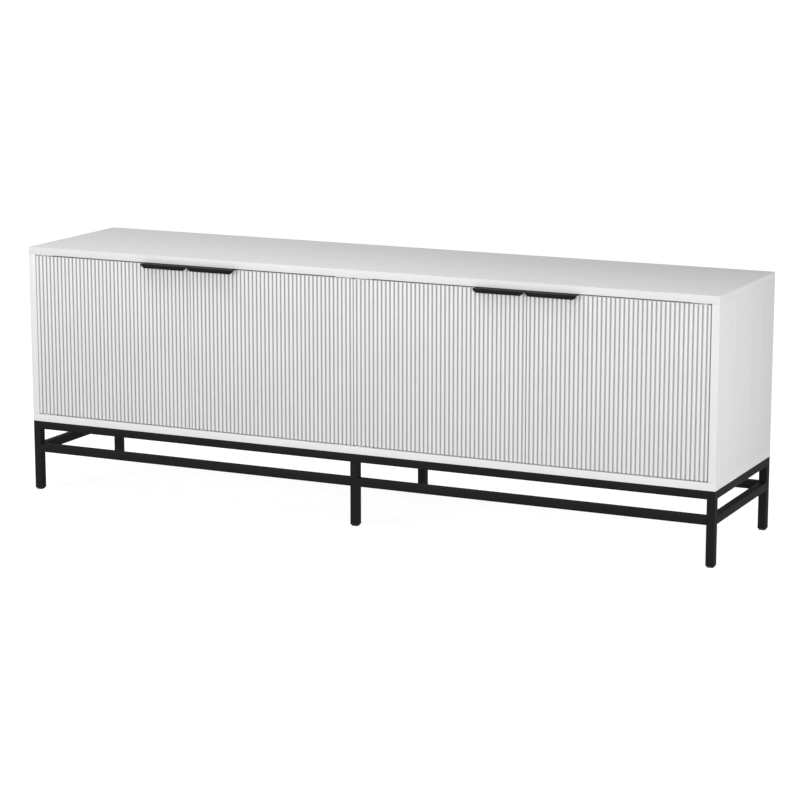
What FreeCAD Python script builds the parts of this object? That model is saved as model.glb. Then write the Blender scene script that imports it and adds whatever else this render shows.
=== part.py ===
import FreeCAD, Part

import math
import os
import re

import Sketcher

# A four-door media cabinet on a welded steel stand.  Millimetres, +Z up, front towards -Y.
# The origin lies on the floor, under the middle of the whole object, door pulls included.

# ---------------------------------------------------------------------------------------------
# Driving dimensions: each one is set here once and can be changed by itself.
# ---------------------------------------------------------------------------------------------
DIMENSIONS = [
    ("width", 1800, "width of the cabinet and of the stand"),
    ("depth", 400, "depth of the cabinet, from the door faces to the back"),
    ("cabinet_height", 441, "height of the cabinet alone"),
    ("stand_height", 177, "floor to the underside of the cabinet"),
    ("board", 18, "thickness of the carcass boards"),
    ("back_sheet", 3, "thickness of the hardboard back"),
    ("rebate", 9, "how far the back sheet laps over each board"),
    ("sheet_play", 1, "free space round the edge of the back sheet"),
    ("sheet_screw_inset", 110, "outer screws of a back sheet to its ends"),
    ("cable_hole_radius", 30, "cable hole in the back of each bay"),
    ("door_thickness", 18, "thickness of a door over its ribs"),
    ("door_gap", 3, "gap on each side of a door, and above and below it"),
    ("rib_pitch", 10.84, "distance from one groove to the next"),
    ("groove_depth", 4.6, "depth of a groove"),
    ("groove_width", 2.8, "width of a groove between the straight walls of two ribs"),
    ("rib_round", 3, "radius of the rounded edges of a rib"),
    ("swing_clearance", 0.5, "least distance of a swinging door edge from its neighbour"),
    ("partition_clearance", 2, "partition edge to the circle that the door heel sweeps"),
    ("pin_radius", 2.5, "radius of the pivot pin"),
    ("pin_fit", 0.05, "radial clearance of the pin in its bush"),
    ("pin_length", 11.5, "height of the pin over its plate"),
    ("pivot_plate", 1.5, "thickness of the pivot plate"),
    ("pivot_plate_width", 13, "width of the pivot plate"),
    ("pivot_plate_length", 46, "length of the pivot plate"),
    ("pivot_plate_play", 1, "end of the pivot plate to the hinge edge of its door"),
    ("plate_screw_offset", 12, "pivot pin to the first screw of its plate"),
    ("plate_screw_inset", 7, "second screw of a pivot plate to the end of the plate"),
    ("bush_wall", 1, "wall of the nylon bush"),
    ("bush_length", 12, "length of the bush with its flange"),
    ("bush_flange", 0.8, "thickness of the bush flange"),
    ("bush_flange_lap", 1.5, "how far the flange stands out past the bush"),
    ("pull_length", 125, "length of a door pull"),
    ("pull_reach", 16.8, "how far the pull stands out from the door face"),
    ("pull_lip", 10.4, "height of the pull's turned-down lip"),
    ("pull_sheet", 2, "thickness of the pull's metal"),
    ("pull_seat", 14, "how far the pull lies on the door's top edge"),
    ("pull_bend", 1, "outer radius of the pull's bend"),
    ("pull_cut_wide", 8, "width of the cut lower corners of the lip"),
    ("pull_cut_tall", 5.8, "height of the cut lower corners of the lip"),
    ("pull_inset", 0.5, "end of the pull to the opening edge of its door"),
    ("pull_screw_inset", 18, "pull screw to the end of the pull"),
    ("catch_length", 44, "magnetic catch, along the cabinet"),
    ("catch_depth", 14, "magnetic catch, front to back"),
    ("catch_height", 13, "magnetic catch, top to bottom"),
    ("catch_inset", 40, "magnetic catch to the opening edge of its door"),
    ("catch_web", 3.25, "plastic of the catch under its screw's head"),
    ("catch_air", 0.4, "catch to strike plate with the door shut"),
    ("strike_sheet", 1.2, "thickness of the strike plate"),
    ("shelf_board", 16, "thickness of a shelf"),
    ("shelf_setback", 24, "shelf edge to the back of the doors"),
    ("shelf_play", 1, "free space at each end of a shelf and behind it"),
    ("shelf_step", 32, "distance between the rows of shelf pin holes"),
    ("shelf_pin_inset", 45, "shelf pins to the front and back edge of the shelf"),
    ("shelf_pin_radius", 2.5, "radius of a shelf pin"),
    ("shelf_pin_hole", 8.5, "depth of a shelf pin's hole"),
    ("shelf_pin_peg", 8, "how far a shelf pin stands out"),
    ("shelf_pin_room", 1, "depth of its hole that a shelf pin leaves free"),
    ("shelf_pin_bevel", 0.4, "bevel at the ends of a shelf pin"),
    ("tube", 20, "width of the square steel tube"),
    ("tube_wall", 1.5, "wall of the steel tube"),
    ("tube_corner", 1.5, "outer corner radius of the steel tube"),
    ("lower_rail_level", 98, "floor to the underside of the lower rails"),
    ("glide_flange", 1, "thickness of the glide's flange under the tube"),
    ("glide_pad", 4, "height of the glide's pad"),
    ("glide_inset", 2.5, "edge of the tube to the edge of the pad"),
    ("glide_chamfer", 1, "chamfer round the bottom of the pad"),
    ("glide_plug", 16, "length of the glide's plug in the tube"),
    ("joint_fit", 0.1, "clearance of dowels, pins, cams, plugs and shanks in their holes"),
    ("screw_length", 15, "length of a small countersunk screw"),
    ("screw_radius", 1.5, "shank radius of a small countersunk screw"),
    ("screw_head", 1.4, "height of its head, which is as much wider all round"),
    ("frame_screw_bite", 14, "how far a frame screw goes into the bottom board"),
    ("frame_screw_radius", 2.5, "shank radius of a frame screw"),
    ("frame_screw_head", 2.5, "height of a frame screw's head, inside the rail"),
    ("frame_screw_head_radius", 5, "radius of a frame screw's head"),
    ("frame_screw_inset", 130, "outermost frame screws to the end of the rail"),
    ("assembly_screw_length", 50, "length of a carcass assembly screw"),
    ("assembly_screw_radius", 3.2, "shank radius of a carcass assembly screw"),
    ("assembly_screw_head", 4, "height of its head"),
    ("assembly_screw_head_radius", 5, "radius of its head"),
    ("dowel_radius", 4, "radius of a wooden dowel"),
    ("dowel_length", 30, "length of a wooden dowel"),
    ("dowel_grip", 10, "length of a dowel in the top board"),
    ("dowel_bevel", 1, "bevel at the ends of a dowel"),
    ("cam_radius", 7.5, "radius of a cam lock"),
    ("cam_length", 12.5, "length of a cam lock"),
    ("cam_bevel", 0.5, "bevel at the ends of a cam lock and of its bolt"),
    ("cam_drop", 26, "end of the board to the centre of the cam"),
    ("cam_bolt_radius", 3.5, "radius of a cam bolt"),
    ("cam_bolt_grip", 11, "length of a cam bolt in the top board"),
    ("fastener_inset", 60, "fasteners to the front and back of the carcass"),
]

DOOR_COUNT = 4
FRAME_SCREW_COUNT = 4  # along each of the two long upper rails
TOUCH = 0.01  # places nearer than this count as the same

# Everything else follows from them.  A name here stands for its formula wherever it is used.
DERIVED = {
    "left": "-width / 2",
    "front": "(pull_reach - depth) / 2",
    "inner_width": "width - 2 * board",
    "inner_height": "cabinet_height - 2 * board",
    "inner_floor": "stand_height + board",
    "inner_top": "stand_height + cabinet_height - board",
    "door_width": f"(inner_width - {DOOR_COUNT + 1} * door_gap) / {DOOR_COUNT}",
    "door_height": "inner_height - 2 * door_gap",
    "door_foot": "inner_floor + door_gap",
    "door_head": "inner_top - door_gap",
    "groove_count": "floor(door_width / rib_pitch)",
    "groove_start": "(door_width - (groove_count - 1) * rib_pitch) / 2",
    "groove_left": "groove_start - groove_width / 2",
    "groove_right": "groove_start + groove_width / 2",
    "edge_room": "door_gap - swing_clearance",
    "pivot_setback": "((door_thickness / 2) ^ 2 - edge_room ^ 2) / (2 * edge_room)",
    "pivot_depth": "door_thickness / 2",
    "heel_radius": "pivot_setback + edge_room",
    "partition_setback": "pivot_depth + heel_radius + partition_clearance",
    "partition_depth": "depth - back_sheet - partition_setback",
    "bay_width": "(inner_width - board) / 2",
    "bush_radius": "pin_radius + pin_fit + bush_wall",
    "plate_heel": "pivot_setback - pivot_plate_play",
    "catch_front": "door_thickness + strike_sheet + catch_air",
    "shelf_front": "door_thickness + shelf_setback",
    "shelf_depth": "depth - back_sheet - shelf_play - shelf_front",
    "shelf_width": "bay_width - 2 * shelf_play",
    "shelf_level": "inner_floor + (inner_height - shelf_board) / 2",
    "shelf_pin_level": "shelf_level - shelf_pin_radius - stand_height - board",
    "pin_row_front": "shelf_front + shelf_pin_inset",
    "pin_row_back": "depth - back_sheet - shelf_pin_inset",
    "glide_height": "glide_flange + glide_pad",
    "leg_length": "stand_height - glide_height",
    "upper_rail_level": "stand_height - tube",
    "centre_leg_length": "upper_rail_level - glide_height",
    "rail_width": "width - 2 * tube",
    "rail_depth": "depth - 2 * tube",
    "half_rail": "(width - 3 * tube) / 2",
    "screw_hole": "screw_radius + joint_fit",
    "frame_screw_step": f"(rail_width - 2 * frame_screw_inset) / {FRAME_SCREW_COUNT - 1}",
    "frame_screw_length": "frame_screw_bite + tube_wall + frame_screw_head",
    "cam_bolt_reach": "cam_drop - cam_radius - joint_fit",
    "dowel_reach": "dowel_length - dowel_grip",
    "sheet_width": "inner_width / 2 + rebate - sheet_play - sheet_play / 2",
    "sheet_height": "inner_height + 2 * rebate - 2 * sheet_play",
}
ALIASES = [alias for alias, _, _ in DIMENSIONS]

doc = FreeCAD.newDocument("MediaCabinet")
sheet = doc.addObject("Spreadsheet::Sheet", "Sizes")
for row, (alias, size, meaning) in enumerate(DIMENSIONS, start=1):
    sheet.set(f"A{row}", meaning)
    sheet.set(f"B{row}", str(size))
    sheet.setAlias(f"B{row}", alias)
probe = doc.addObject("App::FeaturePython", "Probe")
doc.recompute()

PARTS = []  # the objects that are written out, one file each


# ---------------------------------------------------------------------------------------------
# Formulas
# ---------------------------------------------------------------------------------------------
def bind(formula):
    """Write a formula made of the names above as an expression on the sheet."""
    def expand(match):
        word = match.group(0)
        if word in DERIVED:
            return "(" + bind(DERIVED[word]) + ")"
        if word in ALIASES:
            return "Sizes." + word
        return word
    return re.sub(r"[a-z_]+", expand, formula)


def number(formula):
    """The present value of a formula, for the first shape of a sketch."""
    return float(probe.evalExpression(bind(formula)))


def place(piece, x, y, z):
    """Tie a piece's position to the sheet."""
    for axis, formula in zip("xyz", (x, y, z)):
        piece.setExpression("Placement.Base." + axis, bind(formula))


# ---------------------------------------------------------------------------------------------
# Sketches.  Every one starts at its body's origin and grows into the positive quarter.
# ---------------------------------------------------------------------------------------------
def sketch_on(body, role, level="0"):
    """A sketch on one of the body's own planes, moved along its normal by a formula."""
    plane = next(p for p in body.Origin.OriginFeatures if p.Role == role)
    sketch = body.newObject("Sketcher::SketchObject", body.Name + "_sketch")
    sketch.AttachmentSupport = [(plane, "")]
    sketch.MapMode = "FlatFace"
    if level != "0":
        sketch.setExpression("AttachmentOffset.Base.z", bind(level))
    return sketch


def tie(sketch, kind, geometry, point, formula):
    """Hold a point of a sketch at a distance from the origin along one axis."""
    if formula == "0":
        axis = -2 if kind == "DistanceX" else -1
        sketch.addConstraint(Sketcher.Constraint("PointOnObject", geometry, point, axis))
        return
    spot = Sketcher.Constraint(kind, -1, 1, geometry, point, number(formula))
    index = sketch.addConstraint(spot)
    sketch.setExpression(f"Constraints[{index}]", bind(formula))


def add_outline(sketch, corners):
    """A closed outline of straight lines, each corner given as two formulas."""
    first = sketch.GeometryCount
    spots = [FreeCAD.Vector(number(x), number(y), 0) for x, y in corners]
    for index, spot in enumerate(spots):
        sketch.addGeometry(Part.LineSegment(spot, spots[(index + 1) % len(spots)]), False)
    for index, (x, y) in enumerate(corners):
        line = first + index
        follower = first + (index + 1) % len(corners)
        sketch.addConstraint(Sketcher.Constraint("Coincident", line, 2, follower, 1))
        tie(sketch, "DistanceX", line, 1, x)
        tie(sketch, "DistanceY", line, 1, y)


def add_circles(sketch, centres, radius):
    """Circles of one radius, each centre given as two formulas."""
    size = number(radius)
    for x, y in centres:
        middle = FreeCAD.Vector(number(x), number(y), 0)
        circle = sketch.addGeometry(Part.Circle(middle, FreeCAD.Vector(0, 0, 1), size), False)
        tie(sketch, "DistanceX", circle, 3, x)
        tie(sketch, "DistanceY", circle, 3, y)
        index = sketch.addConstraint(Sketcher.Constraint("Radius", circle, size))
        sketch.setExpression(f"Constraints[{index}]", bind(radius))


def rectangle(wide, high):
    """Corners of a rectangle that starts at the origin."""
    return [("0", "0"), (wide, "0"), (wide, high), ("0", high)]


# ---------------------------------------------------------------------------------------------
# Features
# ---------------------------------------------------------------------------------------------
def new_body(name, x="0", y="0", z="0", keep=True):
    """An empty body with its corner at a point of the cabinet."""
    body = doc.addObject("PartDesign::Body", name)
    body.Label = name
    place(body, x, y, z)
    if keep:
        PARTS.append(body)
    return body


def pad(body, sketch, length, reverse=False):
    """Raise a sketch into a solid."""
    feature = body.newObject("PartDesign::Pad", body.Name + "_pad")
    feature.Profile = sketch
    feature.Reversed = reverse
    feature.setExpression("Length", bind(length))
    doc.recompute()
    return feature


def pocket(body, sketch, depth, reverse=False):
    """Cut a sketch into the body, and make sure that it did cut."""
    before = body.Shape.Volume
    feature = body.newObject("PartDesign::Pocket", body.Name + "_pocket")
    feature.Profile = sketch
    feature.Reversed = reverse
    feature.setExpression("Length", bind(depth))
    doc.recompute()
    if not body.Shape.Volume < before:
        raise RuntimeError(f"{feature.Name} cuts nothing")
    return feature


def drill(body, role, centres, radius, depth, level="0", reverse=False):
    """Round holes of one size, from a plane of the body."""
    sketch = sketch_on(body, role, level)
    add_circles(sketch, centres, radius)
    return pocket(body, sketch, depth, reverse)


def edge_names(shape, wanted):
    """Names of the edges for which wanted(edge) holds."""
    return [f"Edge{index}" for index, edge in enumerate(shape.Edges, start=1) if wanted(edge)]


def round_edges(body, feature, wanted, radius):
    """Fillet the chosen edges."""
    fillet = body.newObject("PartDesign::Fillet", body.Name + "_fillet")
    fillet.Base = (feature, edge_names(feature.Shape, wanted))
    fillet.setExpression("Radius", bind(radius))
    doc.recompute()
    return fillet


def chamfer_edges(body, feature, wanted, size):
    """Chamfer the chosen edges."""
    chamfer = body.newObject("PartDesign::Chamfer", body.Name + "_chamfer")
    chamfer.Base = (feature, edge_names(feature.Shape, wanted))
    chamfer.setExpression("Size", bind(size))
    doc.recompute()
    return chamfer


def rim_at(level_axis, level):
    """Chooser of round edges that lie in a plane of the body's own axes."""
    def wanted(edge):
        middle = edge.CenterOfMass
        return isinstance(edge.Curve, Part.Circle) and abs(getattr(middle, level_axis) - level) < TOUCH
    return wanted


def countersink(body, level_axis, level):
    """Open the round holes of a face into countersinks for small screws."""
    return chamfer_edges(body, body.Tip, rim_at(level_axis, number(level)), "screw_head")


def block(name, spot, size, keep=True):
    """A plain board: a rectangle in plan, raised to its height."""
    body = new_body(name, *spot, keep=keep)
    sketch = sketch_on(body, "XY_Plane")
    add_outline(sketch, rectangle(size[0], size[1]))
    pad(body, sketch, size[2])
    return body


# ---------------------------------------------------------------------------------------------
# Turned pieces and sets of identical pieces
# ---------------------------------------------------------------------------------------------
TURNS = {  # the way that the far end of a turned piece points
    "up": FreeCAD.Rotation(),
    "down": FreeCAD.Rotation(FreeCAD.Vector(1, 0, 0), 180),
    "back": FreeCAD.Rotation(FreeCAD.Vector(1, 0, 0), -90),
    "right": FreeCAD.Rotation(FreeCAD.Vector(0, 1, 0), 90),
    "left": FreeCAD.Rotation(FreeCAD.Vector(0, 1, 0), -90),
}


def turned(name, corners):
    """A master piece turned about its own Z axis, its outline given as radius and height."""
    body = new_body(name, keep=False)
    sketch = sketch_on(body, "XZ_Plane")
    add_outline(sketch, corners)
    feature = body.newObject("PartDesign::Revolution", name + "_turn")
    feature.Profile = sketch
    feature.ReferenceAxis = (sketch, ["V_Axis"])
    feature.Angle = 360
    doc.recompute()
    return body


def join_set(name, pieces):
    """One node of separate pieces that are alike."""
    group = doc.addObject("Part::Compound", name)
    group.Label = name
    group.Links = pieces
    PARTS.append(group)


def copy_set(name, master, spots):
    """One node of separate copies of a master, each spot given as x, y, z and a turn."""
    copies = []
    for index, (x, y, z, turn) in enumerate(spots, start=1):
        copy = doc.addObject("App::Link", f"{name}_{index}")
        copy.LinkedObject = master
        copy.Placement = FreeCAD.Placement(FreeCAD.Vector(), TURNS[turn])
        place(copy, x, y, z)
        copies.append(copy)
    join_set(name, copies)


# ---------------------------------------------------------------------------------------------
# Places that several pieces share, as formulas in the cabinet's own axes
# ---------------------------------------------------------------------------------------------
FASTENER_ROWS = ["fastener_inset", "depth - fastener_inset"]
UPRIGHT_MIDDLES = ["board / 2", "width / 2", "width - board / 2"]
FRAME_SCREWS = [f"frame_screw_inset + {step} * frame_screw_step" for step in range(FRAME_SCREW_COUNT)]
DOORS = range(DOOR_COUNT)


def door_start(door):
    """Left edge of a door, from the left side of the cabinet."""
    return f"board + door_gap + {door} * (door_width + door_gap)"


def hinged_left(door):
    """Doors come in pairs that open away from each other."""
    return door % 2 == 0


def along_door(door, distance, from_hinge=True):
    """A place on a door, measured from its hinge edge or from its opening edge."""
    if hinged_left(door) == from_hinge:
        return distance
    return f"door_width - ({distance})"


# ---------------------------------------------------------------------------------------------
# Carcass
# ---------------------------------------------------------------------------------------------
def sheet_screw_spots(height):
    """Centres of the back sheet screws in a lying board, at one height in that board."""
    starts = ("board - rebate + sheet_play", "(width + sheet_play) / 2")
    return [(f"{start} + {column}", height) for start in starts for column in sheet_screw_columns()]


def sheet_pilot_holes(body, height):
    """Blind holes for the back sheet screws, from the ledge of the rebate forwards."""
    level = "back_sheet - depth"
    reach = "screw_length - back_sheet"
    drill(body, "XZ_Plane", sheet_screw_spots(height), "screw_hole", reach, level, reverse=True)


def rear_rebate(body, length, from_top):
    """Rebate for the back sheet along the inner rear edge of a lying board."""
    low = "board - rebate" if from_top else "0"
    sketch = sketch_on(body, "YZ_Plane")
    start = "depth - back_sheet"
    high = "board" if from_top else "rebate"
    add_outline(sketch, [(start, low), ("depth", low), ("depth", high), (start, high)])
    pocket(body, sketch, length, reverse=True)


def make_top_panel():
    """Top board over the uprights, bored from below for dowels, cam bolts and hinge screws."""
    body = block("top_panel", ("left", "front", "inner_top"), ("width", "depth", "board"))
    rear_rebate(body, "width", from_top=False)
    bolts = [(x, y) for x in UPRIGHT_MIDDLES for y in FASTENER_ROWS]
    drill(body, "XY_Plane", bolts, "cam_bolt_radius + joint_fit", "cam_bolt_grip", reverse=True)
    dowels = [(x, "depth / 2") for x in UPRIGHT_MIDDLES]
    drill(body, "XY_Plane", dowels, "dowel_radius + joint_fit", "dowel_grip", reverse=True)
    small = plate_screw_spots() + catch_screw_spots()
    drill(body, "XY_Plane", small, "screw_hole", "screw_length", reverse=True)
    sheet_pilot_holes(body, "rebate / 2")


def make_bottom_panel():
    """Bottom board under the uprights, bored for assembly, frame and hinge screws."""
    body = block("bottom_panel", ("left", "front", "stand_height"), ("width", "depth", "board"))
    rear_rebate(body, "width", from_top=True)
    joints = [(x, y) for x in UPRIGHT_MIDDLES for y in FASTENER_ROWS]
    drill(body, "XY_Plane", joints, "assembly_screw_radius + joint_fit", "board", reverse=True)
    heads = "assembly_screw_head_radius + joint_fit"
    drill(body, "XY_Plane", joints, heads, "assembly_screw_head", reverse=True)
    frame = [("tube + " + x, y) for x in FRAME_SCREWS for y in ("tube / 2", "depth - tube / 2")]
    drill(body, "XY_Plane", frame, "frame_screw_radius + joint_fit", "frame_screw_bite", reverse=True)
    spots = plate_screw_spots()
    drill(body, "XY_Plane", spots, "screw_hole", "screw_length - pivot_plate", level="board")
    sheet_pilot_holes(body, "board - rebate / 2")


def bore_upright(body, face_level, reverse, rows, middle):
    """Cam holes from one face of an upright, and the screw, bolt and dowel holes in its ends."""
    cams = [(y, "inner_height - cam_drop") for y in rows]
    drill(body, "YZ_Plane", cams, "cam_radius + joint_fit", "cam_length", face_level, reverse)
    ends = [("board / 2", y) for y in rows]
    drill(body, "XY_Plane", ends, "cam_bolt_radius + joint_fit", "cam_drop", level="inner_height")
    reach = "assembly_screw_length - board"
    drill(body, "XY_Plane", ends, "assembly_screw_radius + joint_fit", reach, reverse=True)
    dowel = [("board / 2", middle)]
    drill(body, "XY_Plane", dowel, "dowel_radius + joint_fit", "dowel_reach", level="inner_height")


def pin_holes(body, offset, level, reverse):
    """Three rows of shelf pin holes in one face, measured from the body's front edge."""
    spots = []
    for column in ("pin_row_front", "pin_row_back"):
        for step in (-1, 0, 1):
            spots.append((f"{column} - ({offset})", f"shelf_pin_level + {step} * shelf_step"))
    drill(body, "YZ_Plane", spots, "shelf_pin_radius + joint_fit", "shelf_pin_hole", level, reverse)


def make_side_panel(name, on_left):
    """A side of the carcass, flush with the door faces at the front."""
    x = "left" if on_left else "left + width - board"
    body = block(name, (x, "front", "inner_floor"), ("board", "depth", "inner_height"))
    sketch = sketch_on(body, "XY_Plane")
    inner = ["board - rebate", "board"] if on_left else ["0", "rebate"]
    rear = "depth - back_sheet"
    add_outline(sketch, [(inner[0], rear), (inner[1], rear), (inner[1], "depth"), (inner[0], "depth")])
    pocket(body, sketch, "inner_height", reverse=True)
    level = "board" if on_left else "0"
    bore_upright(body, level, not on_left, FASTENER_ROWS, "depth / 2")
    pin_holes(body, "0", level, not on_left)


def make_centre_partition():
    """Upright between the bays, set back so that the heels of the middle doors clear it."""
    spot = ("-board / 2", "front + partition_setback", "inner_floor")
    body = block("centre_partition", spot, ("board", "partition_depth", "inner_height"))
    rows = [f"{y} - partition_setback" for y in FASTENER_ROWS]
    bore_upright(body, "0", True, rows, "depth / 2 - partition_setback")
    for level, reverse in (("0", True), ("board", False)):
        pin_holes(body, "partition_setback", level, reverse)


def sheet_screw_columns():
    """Screws along the top and bottom edge of a back sheet, from its left end."""
    return ["sheet_screw_inset", "sheet_width / 2", "sheet_width - sheet_screw_inset"]


def make_back_panel(name, on_left):
    """Hardboard back of one bay, with a cable hole low in its middle."""
    x = "left + board - rebate + sheet_play" if on_left else "sheet_play / 2"
    spot = (x, "front + depth - back_sheet", "inner_floor - rebate + sheet_play")
    body = block(name, spot, ("sheet_width", "back_sheet", "sheet_height"))
    hole = [("sheet_width / 2", "sheet_height / 4")]
    drill(body, "XZ_Plane", hole, "cable_hole_radius", "back_sheet")
    edge = "rebate / 2 - sheet_play"
    spots = [(column, row) for column in sheet_screw_columns() for row in (edge, f"sheet_height - ({edge})")]
    drill(body, "XZ_Plane", spots, "screw_hole", "back_sheet")
    rim = number("back_sheet")
    big = number("cable_hole_radius")

    def small_rim(edge_found):
        return rim_at("y", rim)(edge_found) and edge_found.Curve.Radius < big / 2
    chamfer_edges(body, body.Tip, small_rim, "screw_head")


def make_shelf(name, on_left):
    """Loose shelf of one bay."""
    x = "left + board + shelf_play" if on_left else "board / 2 + shelf_play"
    spot = (x, "front + shelf_front", "shelf_level")
    block(name, spot, ("shelf_width", "shelf_depth", "shelf_board"))


# ---------------------------------------------------------------------------------------------
# Doors, with what is fixed to them
# ---------------------------------------------------------------------------------------------
def add_groove(sketch):
    """Outline of the first groove in plan: a slot whose mouth is widened by the ribs' rounded edges."""
    corners = [("groove_left - rib_round", "0"), ("groove_left", "rib_round")]
    corners += [("groove_left", "groove_depth"), ("groove_right", "groove_depth")]
    corners += [("groove_right", "rib_round"), ("groove_right + rib_round", "0")]
    spots = [FreeCAD.Vector(number(x), number(y), 0) for x, y in corners]
    radius = number("rib_round")
    diagonal = radius * math.sqrt(0.5)
    bulges = {  # the arc that leaves a corner, by the middle of its curve
        0: FreeCAD.Vector(spots[0].x + diagonal, radius - diagonal, 0),
        4: FreeCAD.Vector(spots[5].x - diagonal, radius - diagonal, 0),
    }
    for index, spot in enumerate(spots):
        follower = spots[(index + 1) % len(spots)]
        if index in bulges:
            sketch.addGeometry(Part.Arc(spot, bulges[index], follower), False)
        else:
            sketch.addGeometry(Part.LineSegment(spot, follower), False)
    for index, (x, y) in enumerate(corners):
        follower = (index + 1) % len(corners)
        sketch.addConstraint(Sketcher.Constraint("Coincident", index, 2, follower, 1))
        tie(sketch, "DistanceX", index, 1, x)
        tie(sketch, "DistanceY", index, 1, y)
    for arc in bulges:
        index = sketch.addConstraint(Sketcher.Constraint("Radius", arc, radius))
        sketch.setExpression(f"Constraints[{index}]", bind("rib_round"))


def make_door(door):
    """Inset door with upright ribs on its face, bored for its bushes and the pull's screws."""
    spot = ("left + " + door_start(door), "front", "door_foot")
    body = block(f"door_panel_{door + 1}", spot, ("door_width", "door_thickness", "door_height"))
    sketch = sketch_on(body, "XY_Plane")
    add_groove(sketch)
    first = pocket(body, sketch, "door_height", reverse=True)
    pattern = body.newObject("PartDesign::LinearPattern", body.Name + "_ribs")
    pattern.Originals = [first]
    pattern.Direction = (sketch, ["H_Axis"])
    pattern.setExpression("Length", bind("(groove_count - 1) * rib_pitch"))
    pattern.setExpression("Occurrences", bind("groove_count"))
    body.Tip = pattern
    doc.recompute()
    pivot = [(along_door(door, "pivot_setback"), "pivot_depth")]
    radius = "bush_radius + joint_fit"
    drill(body, "XY_Plane", pivot, radius, "bush_length", reverse=True)
    drill(body, "XY_Plane", pivot, radius, "bush_length", level="door_height")
    screws = [(x, "pull_seat / 2") for x in pull_screw_columns(door)]
    drill(body, "XY_Plane", screws, "screw_hole", "screw_length - pull_sheet", level="door_height")


def pull_screw_columns(door):
    """Places of the pull's two screws along the door."""
    near = "pull_inset + pull_screw_inset"
    far = "pull_inset + pull_length - pull_screw_inset"
    return [along_door(door, near, from_hinge=False), along_door(door, far, from_hinge=False)]


def make_pull(door):
    """Bent sheet pull: it lies on the door's top edge, reaches forwards and turns down."""
    start = "pull_inset" if not hinged_left(door) else "door_width - pull_inset - pull_length"
    x = f"left + {door_start(door)} + {start}"
    body = new_body(f"door_pull_{door + 1}", x, "front - pull_reach", "door_head + pull_sheet - pull_lip")
    profile = sketch_on(body, "YZ_Plane")
    under = "pull_lip - pull_sheet"
    run = "pull_reach + pull_seat"
    outline = [("0", "0"), ("pull_sheet", "0"), ("pull_sheet", under), (run, under), (run, "pull_lip")]
    add_outline(profile, outline + [("0", "pull_lip")])
    solid = pad(body, profile, "pull_length")
    top = number("pull_lip")

    def outer_bend(edge):
        middle = edge.CenterOfMass
        lies_along = abs(edge.Length - number("pull_length")) < TOUCH
        return lies_along and abs(middle.y) < TOUCH and abs(middle.z - top) < TOUCH
    round_edges(body, solid, outer_bend, "pull_bend")
    corners = sketch_on(body, "XZ_Plane")
    add_outline(corners, [("0", "0"), ("pull_cut_wide", "0"), ("0", "pull_cut_tall")])
    far = "pull_length - pull_cut_wide"
    add_outline(corners, [(far, "0"), ("pull_length", "0"), ("pull_length", "pull_cut_tall")])
    pocket(body, corners, "pull_sheet")
    columns = ["pull_screw_inset", "pull_length - pull_screw_inset"]
    spots = [(column, "pull_reach + pull_seat / 2") for column in columns]
    drill(body, "XY_Plane", spots, "screw_hole", "pull_sheet", level="pull_lip")
    countersink(body, "z", "pull_lip")


def make_door_hardware(door, screw, bush):
    """The pull's screws, the two bushes and the strike plate of one door."""
    start = f"left + {door_start(door)} + "
    head_low = "door_head + pull_sheet - screw_length"
    spots = [(start + x, "front + pull_seat / 2", head_low, "up") for x in pull_screw_columns(door)]
    copy_set(f"pull_screws_{door + 1}", screw, spots)
    axis = (start + along_door(door, "pivot_setback"), "front + pivot_depth")
    low = (*axis, "door_foot - bush_flange", "up")
    high = (*axis, "door_head + bush_flange", "down")
    copy_set(f"pivot_bushes_{door + 1}", bush, [low, high])
    strike = along_door(door, "catch_inset", from_hinge=False)
    if hinged_left(door):
        strike = f"{strike} - catch_length"
    level = "inner_top - catch_height"
    size = ("catch_length", "strike_sheet", "catch_height - door_gap")
    block(f"strike_plate_{door + 1}", (start + strike, "front + door_thickness", level), size)


# ---------------------------------------------------------------------------------------------
# Hinge plates, catches and fasteners on the carcass
# ---------------------------------------------------------------------------------------------
def plate_start(door):
    """Left end of a pivot plate, from the left side of the cabinet."""
    heel = along_door(door, "pivot_setback - plate_heel")
    if hinged_left(door):
        return f"{door_start(door)} + {heel}"
    return f"{door_start(door)} + {heel} - pivot_plate_length"


def plate_screw_columns():
    """The plate's two screws, from its heel."""
    return ["plate_heel + plate_screw_offset", "pivot_plate_length - plate_screw_inset"]


def plate_screw_spots():
    """Centres of all plate screws in plan."""
    spots = []
    for door in DOORS:
        for column in plate_screw_columns():
            x = column if hinged_left(door) else f"pivot_plate_length - ({column})"
            spots.append((f"{plate_start(door)} + {x}", "pivot_depth"))
    return spots


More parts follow.
